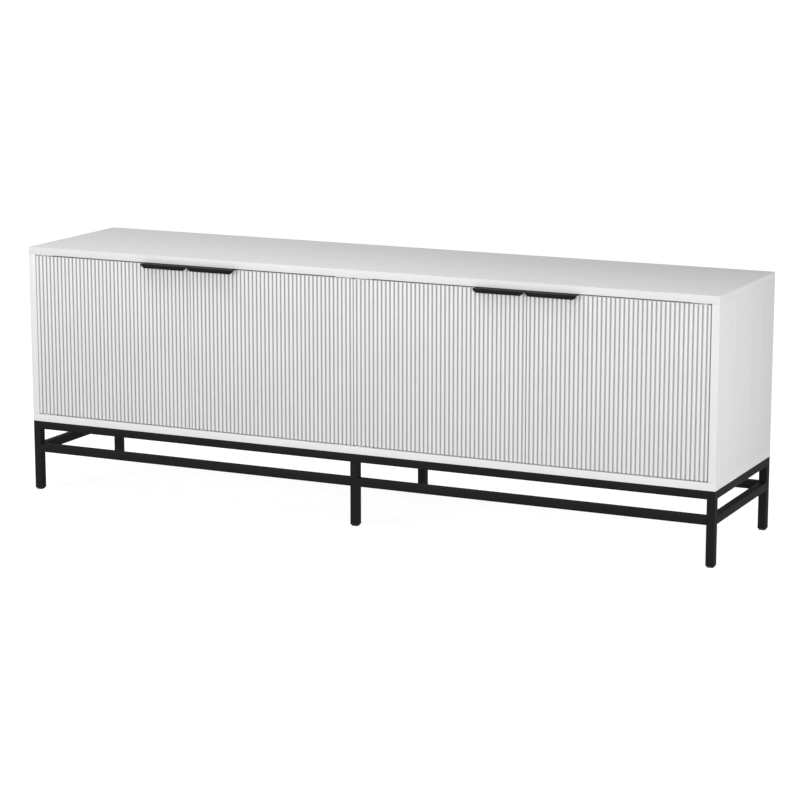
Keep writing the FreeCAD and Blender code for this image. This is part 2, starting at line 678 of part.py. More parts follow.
def make_pivot_plate(door, upper):
    """Steel plate with its pin, screwed to the board above or below the door."""
    word = "upper" if upper else "lower"
    z = "inner_top - pivot_plate" if upper else "inner_floor"
    y = "front + pivot_depth - pivot_plate_width / 2"
    body = new_body(f"pivot_plate_{word}_{door + 1}", "left + " + plate_start(door), y, z, keep=False)
    sketch = sketch_on(body, "XY_Plane")
    add_outline(sketch, rectangle("pivot_plate_length", "pivot_plate_width"))
    pad(body, sketch, "pivot_plate")
    middle = "pivot_plate_width / 2"
    heel = "plate_heel" if hinged_left(door) else "pivot_plate_length - plate_heel"
    pin = sketch_on(body, "XY_Plane", level="0" if upper else "pivot_plate")
    add_circles(pin, [(heel, middle)], "pin_radius")
    pad(body, pin, "pin_length", reverse=upper)
    columns = plate_screw_columns()
    if not hinged_left(door):
        columns = [f"pivot_plate_length - ({column})" for column in columns]
    spots = [(column, middle) for column in columns]
    drill(body, "XY_Plane", spots, "screw_hole", "pivot_plate", level="pivot_plate")
    face = "0" if upper else "pivot_plate"
    rim = number(face)
    small = number("screw_hole")

    def screw_rim(edge):
        return rim_at("z", rim)(edge) and abs(edge.Curve.Radius - small) < TOUCH
    chamfer_edges(body, body.Tip, screw_rim, "screw_head")
    return body


def catch_start(door):
    """Left end of a magnetic catch, from the left side of the cabinet."""
    inset = along_door(door, "catch_inset", from_hinge=False)
    if hinged_left(door):
        inset = f"{inset} - catch_length"
    return f"{door_start(door)} + {inset}"


def catch_screw_spots():
    """Centres of the catch screws in plan."""
    return [(f"{catch_start(door)} + catch_length / 2", "catch_front + catch_depth / 2") for door in DOORS]


def make_catch(door):
    """Magnetic catch under the top board, behind the opening corner of a door."""
    spot = ("left + " + catch_start(door), "front + catch_front", "inner_top - catch_height")
    size = ("catch_length", "catch_depth", "catch_height")
    body = block(f"magnetic_catch_{door + 1}", spot, size, keep=False)
    middle = [("catch_length / 2", "catch_depth / 2")]
    drill(body, "XY_Plane", middle, "screw_hole", "catch_height", reverse=True)
    wide = "screw_radius + 2 * screw_head"
    drill(body, "XY_Plane", middle, wide, "catch_height - catch_web", reverse=True)
    seat = number("catch_height - catch_web")
    small = number("screw_hole")

    def screw_seat(edge):
        return rim_at("z", seat)(edge) and abs(edge.Curve.Radius - small) < TOUCH
    chamfer_edges(body, body.Tip, screw_seat, "screw_head")
    return body


def make_carcass_fasteners(screw):
    """Dowels, cam locks, assembly screws, shelf pins and small screws of the carcass."""
    dowel = turned("dowel_master", peg("dowel_radius", "dowel_length", "dowel_bevel"))
    low = "inner_top - dowel_reach"
    spots = [("left + " + x, "front + depth / 2", low, "up") for x in UPRIGHT_MIDDLES]
    copy_set("dowels", dowel, spots)

    cam = turned("cam_master", peg("cam_radius", "cam_length", "cam_bevel"))
    level = "inner_top - cam_drop"
    spots = []
    for y in FASTENER_ROWS:
        spots.append(("left + board - cam_length", "front + " + y, level, "right"))
        spots.append(("-board / 2 + cam_length", "front + " + y, level, "left"))
        spots.append(("left + width - board + cam_length", "front + " + y, level, "left"))
    copy_set("cam_locks", cam, spots)

    bolt = turned("bolt_master", peg("cam_bolt_radius", "cam_bolt_grip + cam_bolt_reach", "cam_bevel"))
    low = "inner_top - cam_bolt_reach"
    uprights = [(x, y) for x in UPRIGHT_MIDDLES for y in FASTENER_ROWS]
    copy_set("cam_bolts", bolt, [("left + " + x, "front + " + y, low, "up") for x, y in uprights])

    outline = headed("assembly_screw_radius", "assembly_screw_length", "assembly_screw_head_radius",
                     "assembly_screw_head")
    long_screw = turned("assembly_screw_master", outline)
    low = "stand_height + assembly_screw_length"
    copy_set("assembly_screws", long_screw,
             [("left + " + x, "front + " + y, low, "down") for x, y in uprights])

    length = "shelf_pin_peg + shelf_pin_hole - shelf_pin_room"
    pin = turned("shelf_pin_master", peg("shelf_pin_radius", length, "shelf_pin_bevel"))
    level = "inner_floor + shelf_pin_level"
    spots = []
    for y in ("front + pin_row_front", "front + pin_row_back"):
        spots.append(("left + board + shelf_pin_peg", y, level, "left"))
        spots.append(("-board / 2 - shelf_pin_peg", y, level, "right"))
        spots.append(("board / 2 + shelf_pin_peg", y, level, "left"))
        spots.append(("left + width - board - shelf_pin_peg", y, level, "right"))
    copy_set("shelf_pins", pin, spots)

    spots = []
    for x, y in plate_screw_spots():
        over = "inner_top - pivot_plate + screw_length"
        under = "inner_floor + pivot_plate - screw_length"
        spots.append(("left + " + x, "front + " + y, over, "down"))
        spots.append(("left + " + x, "front + " + y, under, "up"))
    copy_set("pivot_screws", screw, spots)

    low = "inner_top - catch_web + screw_length"
    spots = [("left + " + x, "front + " + y, low, "down") for x, y in catch_screw_spots()]
    copy_set("catch_screws", screw, spots)

    spots = []
    tip = "front + depth - screw_length"
    for level in ("inner_floor - rebate / 2", "inner_top + rebate / 2"):
        spots += [("left + " + x, tip, z, "back") for x, z in sheet_screw_spots(level)]
    copy_set("back_screws", screw, spots)


def peg(radius, length, bevel):
    """Outline of a plain round peg with bevelled ends."""
    inner = f"{radius} - {bevel}"
    ends = [("0", "0"), (inner, "0"), (radius, bevel), (radius, f"{length} - {bevel}")]
    return ends + [(inner, length), ("0", length)]


def headed(radius, length, head_radius, head):
    """Outline of a screw with a flat cylinder head at its far end."""
    under = f"{length} - {head}"
    shank = [("0", "0"), (f"{radius} / 2", "0"), (radius, radius), (radius, under)]
    return shank + [(head_radius, under), (head_radius, length), ("0", length)]


# ---------------------------------------------------------------------------------------------
# Steel stand
# ---------------------------------------------------------------------------------------------
AXES = {"x": ("YZ_Plane", False), "y": ("XZ_Plane", True), "z": ("XY_Plane", False)}


def make_tube(name, axis, spot, length):
    """Square steel tube along one axis, with rounded outer corners."""
    body = new_body(name, *spot)
    role, reverse = AXES[axis]
    sketch = sketch_on(body, role)
    far = "tube - tube_wall"
    add_outline(sketch, rectangle("tube", "tube"))
    near = "tube_wall"
    add_outline(sketch, [(near, near), (far, near), (far, far), (near, far)])
    solid = pad(body, sketch, length, reverse)
    size = number("tube")

    def outer_corner(edge):
        middle = edge.CenterOfMass
        sides = [getattr(middle, other) for other in "xyz" if other != axis]
        at_rim = all(min(abs(side), abs(side - size)) < TOUCH for side in sides)
        return at_rim and edge.Length > size
    round_edges(body, solid, outer_corner, "tube_corner")
    return body


def make_stand():
    """Legs, upper and lower rails, each a length of the same tube."""
    right = "left + width - tube"
    back = "front + depth - tube"
    foot = "glide_height"
    for word, y in (("front", "front"), ("back", back)):
        make_tube(f"leg_{word}_left", "z", ("left", y, foot), "leg_length")
        make_tube(f"leg_{word}_centre", "z", ("-tube / 2", y, foot), "centre_leg_length")
        make_tube(f"leg_{word}_right", "z", (right, y, foot), "leg_length")
        rail = make_tube(f"upper_rail_{word}", "x", ("left + tube", y, "upper_rail_level"), "rail_width")
        shanks = [(x, "tube / 2") for x in FRAME_SCREWS]
        shank = "frame_screw_radius + joint_fit"
        drill(rail, "XY_Plane", shanks, shank, "tube_wall", level="tube")
        access = "frame_screw_head_radius + joint_fit"
        drill(rail, "XY_Plane", shanks, access, "tube_wall", reverse=True)
        make_tube(f"lower_rail_{word}_left", "x", ("left + tube", y, "lower_rail_level"), "half_rail")
        make_tube(f"lower_rail_{word}_right", "x", ("tube / 2", y, "lower_rail_level"), "half_rail")
    for word, x in (("left", "left"), ("right", right)):
        make_tube(f"upper_rail_{word}", "y", (x, "front + tube", "upper_rail_level"), "rail_depth")
        make_tube(f"lower_rail_{word}", "y", (x, "front + tube", "lower_rail_level"), "rail_depth")
    make_tube("upper_rail_centre", "y", ("-tube / 2", "front + tube", "upper_rail_level"), "rail_depth")


def make_glides():
    """Plastic glides: a plug in the tube, a thin flange under it and a pad on the floor."""
    master = new_body("glide_master", keep=False)
    pad_edge = "tube - glide_inset"
    sketch = sketch_on(master, "XY_Plane")
    near = "glide_inset"
    add_outline(sketch, [(near, near), (pad_edge, near), (pad_edge, pad_edge), (near, pad_edge)])
    solid = pad(master, sketch, "glide_pad")

    def bottom_edge(edge):
        return abs(edge.CenterOfMass.z) < TOUCH
    chamfer_edges(master, solid, bottom_edge, "glide_chamfer")
    sketch = sketch_on(master, "XY_Plane", level="glide_pad")
    add_outline(sketch, rectangle("tube", "tube"))
    pad(master, sketch, "glide_flange")
    sketch = sketch_on(master, "XY_Plane", level="glide_height")
    near = "tube_wall + joint_fit"
    far = "tube - tube_wall - joint_fit"
    add_outline(sketch, [(near, near), (far, near), (far, far), (near, far)])
    pad(master, sketch, "glide_plug")
    columns = ("left", "-tube / 2", "left + width - tube")
    spots = [(x, y, "0", "up") for x in columns for y in ("front", "front + depth - tube")]
    copy_set("foot_glides", master, spots)


def make_frame_screws():
    """Screws inside the upper rails, up through their top wall into the bottom board."""
    outline = headed("frame_screw_radius", "frame_screw_length", "frame_screw_head_radius",
                     "frame_screw_head")
    master = turned("frame_screw_master", outline)
    top = "stand_height + frame_screw_bite"
    spots = []
    for x in FRAME_SCREWS:
        for y in ("front + tube / 2", "front + depth - tube / 2"):
            spots.append((f"left + tube + {x}", y, top, "down"))
    copy_set("frame_screws", master, spots)


# ---------------------------------------------------------------------------------------------
# Build, check and write
# ---------------------------------------------------------------------------------------------
def build():
    """Make every piece of the cabinet."""
    make_top_panel()
    make_bottom_panel()
    make_side_panel("side_panel_left", on_left=True)
    make_side_panel("side_panel_right", on_left=False)
    make_centre_partition()
    for word in ("left", "right"):
        make_back_panel(f"back_panel_{word}", on_left=word == "left")
        make_shelf(f"shelf_{word}", on_left=word == "left")
    head_edge = "screw_length - screw_head"
    outline = [("0", "0"), ("screw_radius", "2 * screw_radius"), ("screw_radius", head_edge)]
    outline += [("screw_radius + screw_head", "screw_length"), ("0", "screw_length")]
    screw = turned("small_screw_master", outline)
    bore = "pin_radius + pin_fit"
    flange = "bush_radius + bush_flange_lap"
    outline = [(bore, "0"), (flange, "0"), (flange, "bush_flange"), ("bush_radius", "bush_flange")]
    outline += [("bush_radius", "bush_length"), (bore, "bush_length")]
    bush = turned("bush_master", outline)
    for door in DOORS:
        make_door(door)
        make_pull(door)
        make_door_hardware(door, screw, bush)
    join_set("pivot_plates_upper", [make_pivot_plate(door, upper=True) for door in DOORS])
    join_set("pivot_plates_lower", [make_pivot_plate(door, upper=False) for door in DOORS])
    join_set("magnetic_catches", [make_catch(door) for door in DOORS])
    make_carcass_fasteners(screw)
    make_stand()
    make_glides()
    make_frame_screws()
    doc.recompute()


def check():
    """Stop if anything in the document failed or a piece has no valid shape."""
    for item in doc.Objects:
        if "Invalid" in item.State or "Error" in item.State:
            raise RuntimeError(f"{item.Name} failed: {item.State}")
    for piece in PARTS:
        if piece.Shape.isNull() or not piece.Shape.isValid() or not piece.Shape.Solids:
            raise RuntimeError(f"{piece.Label} has no valid solid")


def write():
    """Write each piece to a file of its own name."""
    os.makedirs("parts", exist_ok=True)
    for piece in PARTS:
        piece.Shape.exportStep(os.path.join("parts", piece.Label + ".step"))


build()
check()
write()
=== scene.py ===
"""A long white media cabinet with ribbed swing doors on a black square-tube stand."""

import logging
import math
from contextlib import contextmanager
from dataclasses import dataclass, field
from enum import Enum
from typing import Callable, Iterator, Sequence

import bmesh
import bpy
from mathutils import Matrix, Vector


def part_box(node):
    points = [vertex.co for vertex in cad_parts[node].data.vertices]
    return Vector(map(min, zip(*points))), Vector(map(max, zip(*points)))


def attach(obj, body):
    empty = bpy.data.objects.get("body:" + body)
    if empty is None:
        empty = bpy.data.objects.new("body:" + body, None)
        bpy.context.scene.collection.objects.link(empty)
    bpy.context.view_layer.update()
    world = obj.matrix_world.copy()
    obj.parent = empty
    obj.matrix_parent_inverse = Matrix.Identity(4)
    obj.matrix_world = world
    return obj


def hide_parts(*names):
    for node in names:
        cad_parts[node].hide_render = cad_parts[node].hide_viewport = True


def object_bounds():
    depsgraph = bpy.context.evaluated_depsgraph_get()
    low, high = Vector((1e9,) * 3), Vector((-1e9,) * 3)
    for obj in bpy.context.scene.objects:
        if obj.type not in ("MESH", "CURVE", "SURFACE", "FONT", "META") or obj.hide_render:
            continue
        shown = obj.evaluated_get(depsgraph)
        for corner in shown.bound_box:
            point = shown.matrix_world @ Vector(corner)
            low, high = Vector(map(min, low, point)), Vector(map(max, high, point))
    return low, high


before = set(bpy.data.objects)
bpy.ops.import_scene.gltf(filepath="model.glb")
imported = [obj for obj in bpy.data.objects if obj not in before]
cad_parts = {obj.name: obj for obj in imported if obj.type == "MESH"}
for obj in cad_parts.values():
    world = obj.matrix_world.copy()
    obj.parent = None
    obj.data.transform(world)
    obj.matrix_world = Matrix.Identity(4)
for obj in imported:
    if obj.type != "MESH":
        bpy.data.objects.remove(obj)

CAD_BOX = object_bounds()
LOG = logging.getLogger("media_cabinet")
MM = 0.001
ROD_SIDES = 40
SHARP_ANGLE = math.radians(40)
SMOOTH_ANGLE = math.radians(32)
FULL = (0.0, 1.0)

Piece = bpy.types.Object
Material = bpy.types.Material
Socket = bpy.types.NodeSocket
Box = tuple[Vector, Vector]
Hole = tuple[Vector, Vector, float]
Colour = tuple[float, float, float]


# Modelling helpers ------------------------------------------------------------------------
def isolate(piece: Piece) -> None:
    """Deselect everything and make one piece active.

    Args:
        piece: The object that the next operators act on.
    """
    bpy.ops.object.select_all(action="DESELECT")
    piece.select_set(True)
    bpy.context.view_layer.objects.active = piece


@contextmanager
def editing(piece: Piece, kind: str = "EDGE") -> Iterator[None]:
    """Open a piece in edit mode with nothing selected, and close it again.

    Args:
        piece: The object to edit.
        kind: VERT, EDGE or FACE, the way in which elements are picked.
    """
    isolate(piece)
    bpy.ops.object.mode_set(mode="EDIT")
    bpy.ops.mesh.select_mode(type=kind)
    bpy.ops.mesh.select_all(action="DESELECT")
    yield
    bpy.ops.object.mode_set(mode="OBJECT")


def pick(piece: Piece, kind: str, wanted: Callable[..., bool]) -> None:
    """Select the elements of an open piece for which a test holds, and no others.

    Args:
        piece: The object in edit mode.
        kind: verts, edges or faces.
        wanted: The test, given one element.
    """
    bpy.ops.mesh.select_all(action="DESELECT")
    mesh = bmesh.from_edit_mesh(piece.data)
    for element in getattr(mesh, kind):
        element.select_set(wanted(element))
    bmesh.update_edit_mesh(piece.data)


def slice_all(point: Sequence[float], normal: Sequence[float], **settings: bool) -> None:
    """Cut every face of the open piece along the plane through a point, with a normal."""
    bpy.ops.mesh.select_all(action="SELECT")
    bpy.ops.mesh.bisect(plane_co=point, plane_no=normal, **settings)


def middle(element: bmesh.types.BMEdge | bmesh.types.BMFace) -> Vector:
    """Return the mean of an element's corners."""
    corners = [vert.co for vert in element.verts]
    return sum(corners, Vector()) / len(corners)


def near(value: float, target: float, slack: float = 2e-5) -> bool:
    """Say whether two lengths agree within a small slack."""
    return abs(value - target) < slack


def lies_at(element: bmesh.types.BMEdge, **places: float) -> bool:
    """Say whether all corners of an element have the given x, y or z."""
    return all(near(getattr(vert.co, axis), place)
               for vert in element.verts for axis, place in places.items())


def settle(piece: Piece) -> None:
    """Move a piece's place, turn and scale into its mesh."""
    isolate(piece)
    bpy.ops.object.transform_apply(location=True, rotation=True, scale=True)


def adopt(name: str) -> Piece:
    """Name the object that was just added, and settle it.

    Args:
        name: The new name.

    Returns:
        The object.
    """
    piece = bpy.context.active_object
    piece.name = name
    settle(piece)
    return piece


def add_block(name: str, low: Vector, high: Vector) -> Piece:
    """Add a box between its lowest and highest corners, with its place in its mesh."""
    bpy.ops.mesh.primitive_cube_add(size=1.0, location=(low + high) / 2, scale=high - low)
    return adopt(name)


def add_rod(name: str, start: Vector, end: Vector, radii: tuple[float, float]) -> Piece:
    """Add a round rod or cone between two points.

    Args:
        name: The new object's name.
        start: The middle of its first end.
        end: The middle of its last end.
        radii: Its radius at the first and the last end.

    Returns:
        The rod, with its place in its mesh.
    """
    way = end - start
    bpy.ops.mesh.primitive_cone_add(vertices=ROD_SIDES, radius1=radii[0], radius2=radii[1],
                                    depth=way.length, location=(start + end) / 2,
                                    rotation=way.to_track_quat("Z", "Y").to_euler())
    return adopt(name)


def apply_modifier(piece: Piece, kind: str, **settings: object) -> None:
    """Add a modifier to a piece and apply it at once.

    Args:
        piece: The object to change.
        kind: The modifier's type, such as BEVEL.
        **settings: Values for its properties.
    """
    isolate(piece)
    modifier = piece.modifiers.new(kind.lower(), kind)
    for key, value in settings.items():
        setattr(modifier, key, value)
    bpy.ops.object.modifier_apply(modifier=modifier.name)


def cut(piece: Piece, tool: Piece) -> None:
    """Cut the shape of a tool out of a piece and throw the tool away."""
    apply_modifier(piece, "BOOLEAN", operation="DIFFERENCE", solver="EXACT", object=tool)
    bpy.data.objects.remove(tool)


def drill(piece: Piece, start: Vector, end: Vector, radius: float) -> None:
    """Cut a round hole from one point to another."""
    cut(piece, add_rod("drill", start, end, (radius, radius)))


def round_edges(piece: Piece, wanted: Callable[..., bool], radius: float, segments: int) -> None:
    """Round the edges for which a test holds.

    Args:
        piece: The object to change.
        wanted: The test, given one edge.
        radius: How wide the rounding is.
        segments: How many facets it has.
    """
    with editing(piece):
        pick(piece, "edges", wanted)
        bpy.ops.mesh.bevel(offset=radius, segments=segments, affect="EDGES")


def soften(piece: Piece, width: float, segments: int = 2) -> None:
    """Round all sharp edges of a piece a little and shade its curves smooth.

    Args:
        piece: The object to finish.
        width: The width of the rounding.
        segments: How many facets the rounding has.
    """
    apply_modifier(piece, "BEVEL", width=width, segments=segments, limit_method="ANGLE",
                   angle_limit=SHARP_ANGLE, use_clamp_overlap=True)
    smooth(piece)


def smooth(piece: Piece) -> None:
    """Shade a piece smooth but for its sharp edges."""
    isolate(piece)
    bpy.ops.object.shade_smooth_by_angle(angle=SMOOTH_ANGLE)


def merge(name: str, pieces: Sequence[Piece]) -> Piece:
    """Join pieces into one object.

    Args:
        name: The name of the result.
        pieces: The objects to join; the first one is kept.

    Returns:
        The joined object.
    """
    isolate(pieces[0])
    for piece in pieces[1:]:
        piece.select_set(True)
    bpy.ops.object.join()
    pieces[0].name = name
    return pieces[0]


def spread(master: Piece, places: dict[str, str]) -> dict[str, Piece]:
    """Copy a piece to the places of like CAD nodes, each copy with its own mesh.

    Args:
        master: The piece, which stands at the first node.
        places: The name of each piece to the CAD node where it stands.

    Returns:
        The name of each CAD node to the piece that stands there.
    """
    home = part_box(next(iter(places.values())))[0].copy()
    pieces = {}
    for name, node in places.items():
        piece = master
        if pieces:
            isolate(master)
            bpy.ops.object.duplicate(linked=False)
            piece = bpy.context.active_object
            piece.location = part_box(node)[0] - home
            settle(piece)
        piece.name = name
        pieces[node] = piece
    return pieces


# Shader helpers ---------------------------------------------------------------------------
class Nodes:
    """Places and links shader nodes in one tree."""

    def __init__(self, tree: bpy.types.NodeTree) -> None:
        """Keep the tree and start from an empty one."""
        self.tree = tree
        tree.nodes.clear()

    def add(self, kind: str, values: dict[str, object] | None = None,
            **links: object) -> bpy.types.Node:
        """Add a node, set its properties and feed its sockets.

        Args:
            kind: The node's type without the ShaderNode prefix.
            values: Properties of the node itself.
            **links: Socket name, spaces as underscores, to a value or to another node's output.

        Returns:
            The new node.
        """
        prefix = "" if kind.startswith("NodeGroup") else "ShaderNode"
        node = self.tree.nodes.new(prefix + kind)
        for key, value in (values or {}).items():
            setattr(node, key, value)
        for key, value in links.items():
            self.feed(node.inputs[key.replace("_", " ")], value)
        return node

    def feed(self, socket: Socket, value: object) -> None:
        """Link an output to a socket, or set the socket's own value.

        Args:
            socket: The input to feed.
            value: The output or the value.
        """
        if isinstance(value, Socket):
            self.tree.links.new(value, socket)
        else:
            socket.default_value = value

    def combine(self, kind: str, operation: str, first: object,
                second: object) -> bpy.types.NodeOutputs:
        """Combine two numbers or two vectors.

        Args:
            kind: Math for numbers, VectorMath for vectors.
            operation: What to do with them.
            first: The first value or socket.
            second: The second value or socket.

        Returns:
            The node's outputs.
        """
        node = self.add(kind, {"operation": operation})
        self.feed(node.inputs[0], first)
        self.feed(node.inputs[1], second)
        return node.outputs

    def times(self, first: object, second: object) -> Socket:
        """Multiply two numbers and return the product's socket."""
        return self.combine("Math", "MULTIPLY", first, second)[0]

    def span(self, value: object, start: tuple[float, float],
             end: tuple[float, float] = FULL) -> Socket:
        """Map a number from one span to another, held within it.

        Args:
            value: The number or socket to map.
            start: The span that comes in.
            end: The span that goes out.

        Returns:
            The mapped number's socket.
        """
        node = self.add("MapRange", {"clamp": True}, Value=value, From_Min=start[0], From_Max=start[1],
                        To_Min=end[0], To_Max=end[1])
        return node.outputs["Result"]

    def blend(self, amount: object, first: object, second: object) -> Socket:
        """Mix two colours and return the result's socket."""
        node = self.add("Mix", {"data_type": "RGBA"}, Factor=amount, A=first, B=second)
        return node.outputs["Result"]

    def place(self) -> Socket:
        """Return the place of a point on its object."""
        return self.add("TexCoord").outputs["Object"]

    def noise(self, place: Socket, scale: object, detail: float, rough: float = 0.5) -> Socket:
        """Sample noise at a place and return its value."""
        node = self.add("TexNoise", None, Vector=place, Scale=scale, Detail=detail, Roughness=rough)
        return node.outputs[0]


class Effect:
    """A shader node group that more than one material uses."""

    def __init__(self, name: str, inputs: dict[str, float], outputs: Sequence[str]) -> None:
        """Make the empty group.

        Args:
            name: The group's name.
            inputs: Input name to its default number.
            outputs: The names of the masks that it puts out.
        """
        self.tree = bpy.data.node_groups.new(name, "ShaderNodeTree")
        for key, value in inputs.items():
            socket = self.tree.interface.new_socket(key, in_out="INPUT", socket_type="NodeSocketFloat")
            socket.default_value = value
        for key in outputs:
            self.tree.interface.new_socket(key, in_out="OUTPUT", socket_type="NodeSocketFloat")
        self.nodes = Nodes(self.tree)
        self.source = self.nodes.add("NodeGroupInput").outputs
        self.sink = self.nodes.add("NodeGroupOutput").inputs

    def put(self, name: str, value: Socket) -> None:
        """Send a value to one of the group's outputs."""
        self.tree.links.new(value, self.sink[name])


def straight_grain() -> Effect:
    """Make straight wood grain of broad bands and fine pores, drawn out along one axis.

    Returns:
        A group with the grain's stretch along each axis and its Scale as inputs, and Tone and
        Pores as outputs.
    """
    effect = Effect("straight_grain", {"Length X": 1.0, "Length Y": 1.0, "Length Z": 1.0, "Scale": 1.0},
                    ["Tone", "Pores"])
    nodes, source = effect.nodes, effect.source
    stretch = nodes.add("CombineXYZ", None, X=source["Length X"], Y=source["Length Y"],
                        Z=source["Length Z"]).outputs[0]
    laid = nodes.combine("VectorMath", "MULTIPLY", nodes.place(), stretch)[0]
    sized = nodes.add("VectorMath", {"operation": "SCALE"}, Scale=source["Scale"])
    nodes.feed(sized.inputs[0], laid)
    broad = nodes.noise(sized.outputs[0], scale=55.0, detail=4.0, rough=0.55)
    fine = nodes.noise(sized.outputs[0], scale=420.0, detail=3.0, rough=0.6)
    broad_share, fine_share = 0.7, 0.3
    tone = nodes.combine("Math", "ADD", nodes.times(broad, broad_share),
                         nodes.times(fine, fine_share))[0]
    effect.put("Tone", nodes.span(tone, start=(0.35, 0.65)))
    effect.put("Pores", nodes.span(fine, start=(0.52, 0.66)))
    return effect


def edge_highlight_and_wear() -> Effect:
    """Make a mask of convex edges for a painted edge highlight, and one of the same edges broken up by noise
    for wear.

    Returns:
        A group with the edge's Width and its Breakup as inputs, and Edge, a mask for a painted highlight,
        and Wear as outputs.
    """
    effect = Effect("edge_highlight_and_wear", {"Width": 0.001, "Breakup": 60.0}, ["Edge", "Wear"])
    nodes = effect.nodes
    rounded = nodes.add("Bevel", {"samples": 6}, Radius=effect.source["Width"]).outputs["Normal"]
    flat = nodes.add("NewGeometry").outputs["Normal"]
    likeness = nodes.combine("VectorMath", "DOT_PRODUCT", rounded, flat)["Value"]
    # The even Edge mask is for a painted highlight along every convex edge; Wear breaks it up for rubbed
    # edges.
    edge = nodes.span(likeness, start=(0.995, 0.86))
    patchy = nodes.noise(nodes.place(), effect.source["Breakup"], detail=3.0)
    effect.put("Edge", edge)
    effect.put("Wear", nodes.times(edge, nodes.span(patchy, start=(0.48, 0.66))))
    return effect


def settled_dust() -> Effect:
    """Make a faint, cloudy dust mask on faces that look up.

    Returns:
        A group with Amount as input and Dust as output.
    """
    effect = Effect("settled_dust", {"Amount": 0.3}, ["Dust"])
    nodes = effect.nodes
    normal = nodes.add("NewGeometry").outputs["Normal"]
    up = nodes.add("SeparateXYZ", None, Vector=normal).outputs["Z"]
    facing = nodes.span(up, start=(0.55, 1.0))
    cloud = nodes.noise(nodes.place(), scale=5.0, detail=5.0, rough=0.6)
    dust = nodes.times(facing, nodes.span(cloud, start=(0.3, 0.75), end=(0.2, 1.0)))
    effect.put("Dust", nodes.times(dust, effect.source["Amount"]))
    return effect


def fine_grit() -> Effect:
    """Make the fine raised grit of powder coat, moulded plastic or lacquer.

    Returns:
        A group with Scale as input, and Height and Mottle as outputs.
    """
    effect = Effect("fine_grit", {"Scale": 1500.0}, ["Height", "Mottle"])
    nodes = effect.nodes
    place = nodes.place()
    height = nodes.noise(place, effect.source["Scale"], detail=2.0, rough=0.6)
    mottle = nodes.noise(place, scale=9.0, detail=4.0)
    effect.put("Height", nodes.span(height, start=(0.3, 0.7)))
    effect.put("Mottle", nodes.span(mottle, start=(0.3, 0.7)))
    return effect


def sheltered_hollow() -> Effect:
    """Make a mask of narrow hollows from ambient occlusion, for painted shade where light reaches less.

    Returns:
        A group with the shade's Reach and Amount as inputs, and the painted shade mask as output.
    """
    effect = Effect("sheltered_hollow", {"Reach": 0.006, "Amount": 1.0}, ["Hollow"])
    nodes, source = effect.nodes, effect.source
    # Painted shade: ambient occlusion picks out narrow hollows, such as the door grooves, to be darkened.
    shelter = nodes.add("AmbientOcclusion", {"samples": 8, "only_local": True}, Distance=source["Reach"])
    hollow = nodes.span(shelter.outputs["AO"], start=(0.85, 0.30))
    effect.put("Hollow", nodes.times(hollow, source["Amount"]))
    return effect


EFFECTS = {effect.tree.name: effect.tree for effect in (
    straight_grain(), edge_highlight_and_wear(), settled_dust(), fine_grit(), sheltered_hollow())}


# Finishes ---------------------------------------------------------------------------------
def grey(value: float, warmth: float = 0.0) -> Colour:
    """Return a near-neutral colour, a little warmer or cooler."""
    return (value * (1 + warmth), value, value * (1 - warmth))


def shade(colour: Colour, factor: float) -> Colour:
    """Return a colour made darker or lighter by a factor."""
    return tuple(factor * part for part in colour)


def opaque(colour: Colour) -> tuple[float, float, float, float]:
    """Add full opacity to a colour."""
    return (*colour, 1.0)


class Grain(Enum):
    """The way that a board's grain runs, as its stretch along X, Y and Z."""

    ALONG = (0.03, 1.0, 1.0)
    UPRIGHT = (1.0, 1.0, 0.03)
    NONE = (1.0, 1.0, 1.0)


class Coat:
    """Builds one material around a single Principled shader."""

    def __init__(self, name: str) -> None:
        """Make an empty material.

        Args:
            name: Its name.
        """
        self.material = bpy.data.materials.new(name)
        self.material.use_nodes = True
        self.nodes = Nodes(self.material.node_tree)
        self.shader = self.nodes.add("BsdfPrincipled")
        self.nodes.add("OutputMaterial", None, Surface=self.shader.outputs[0])

    def effect(self, name: str, **values: float) -> bpy.types.NodeOutputs:
        """Place one of the shared effects with its own values.

        Args:
            name: The effect's name.
            **values: Input name, spaces as underscores, to its number.

        Returns:
            The effect's outputs.
        """
        node = self.nodes.tree.nodes.new("ShaderNodeGroup")
        node.node_tree = EFFECTS[name]
        for key, value in values.items():
            node.inputs[key.replace("_", " ")].default_value = value
        return node.outputs

    def set(self, **sockets: object) -> None:
        """Feed the shader's sockets by name, spaces as underscores."""
        for key, value in sockets.items():
            self.nodes.feed(self.shader.inputs[key.replace("_", " ")], value)


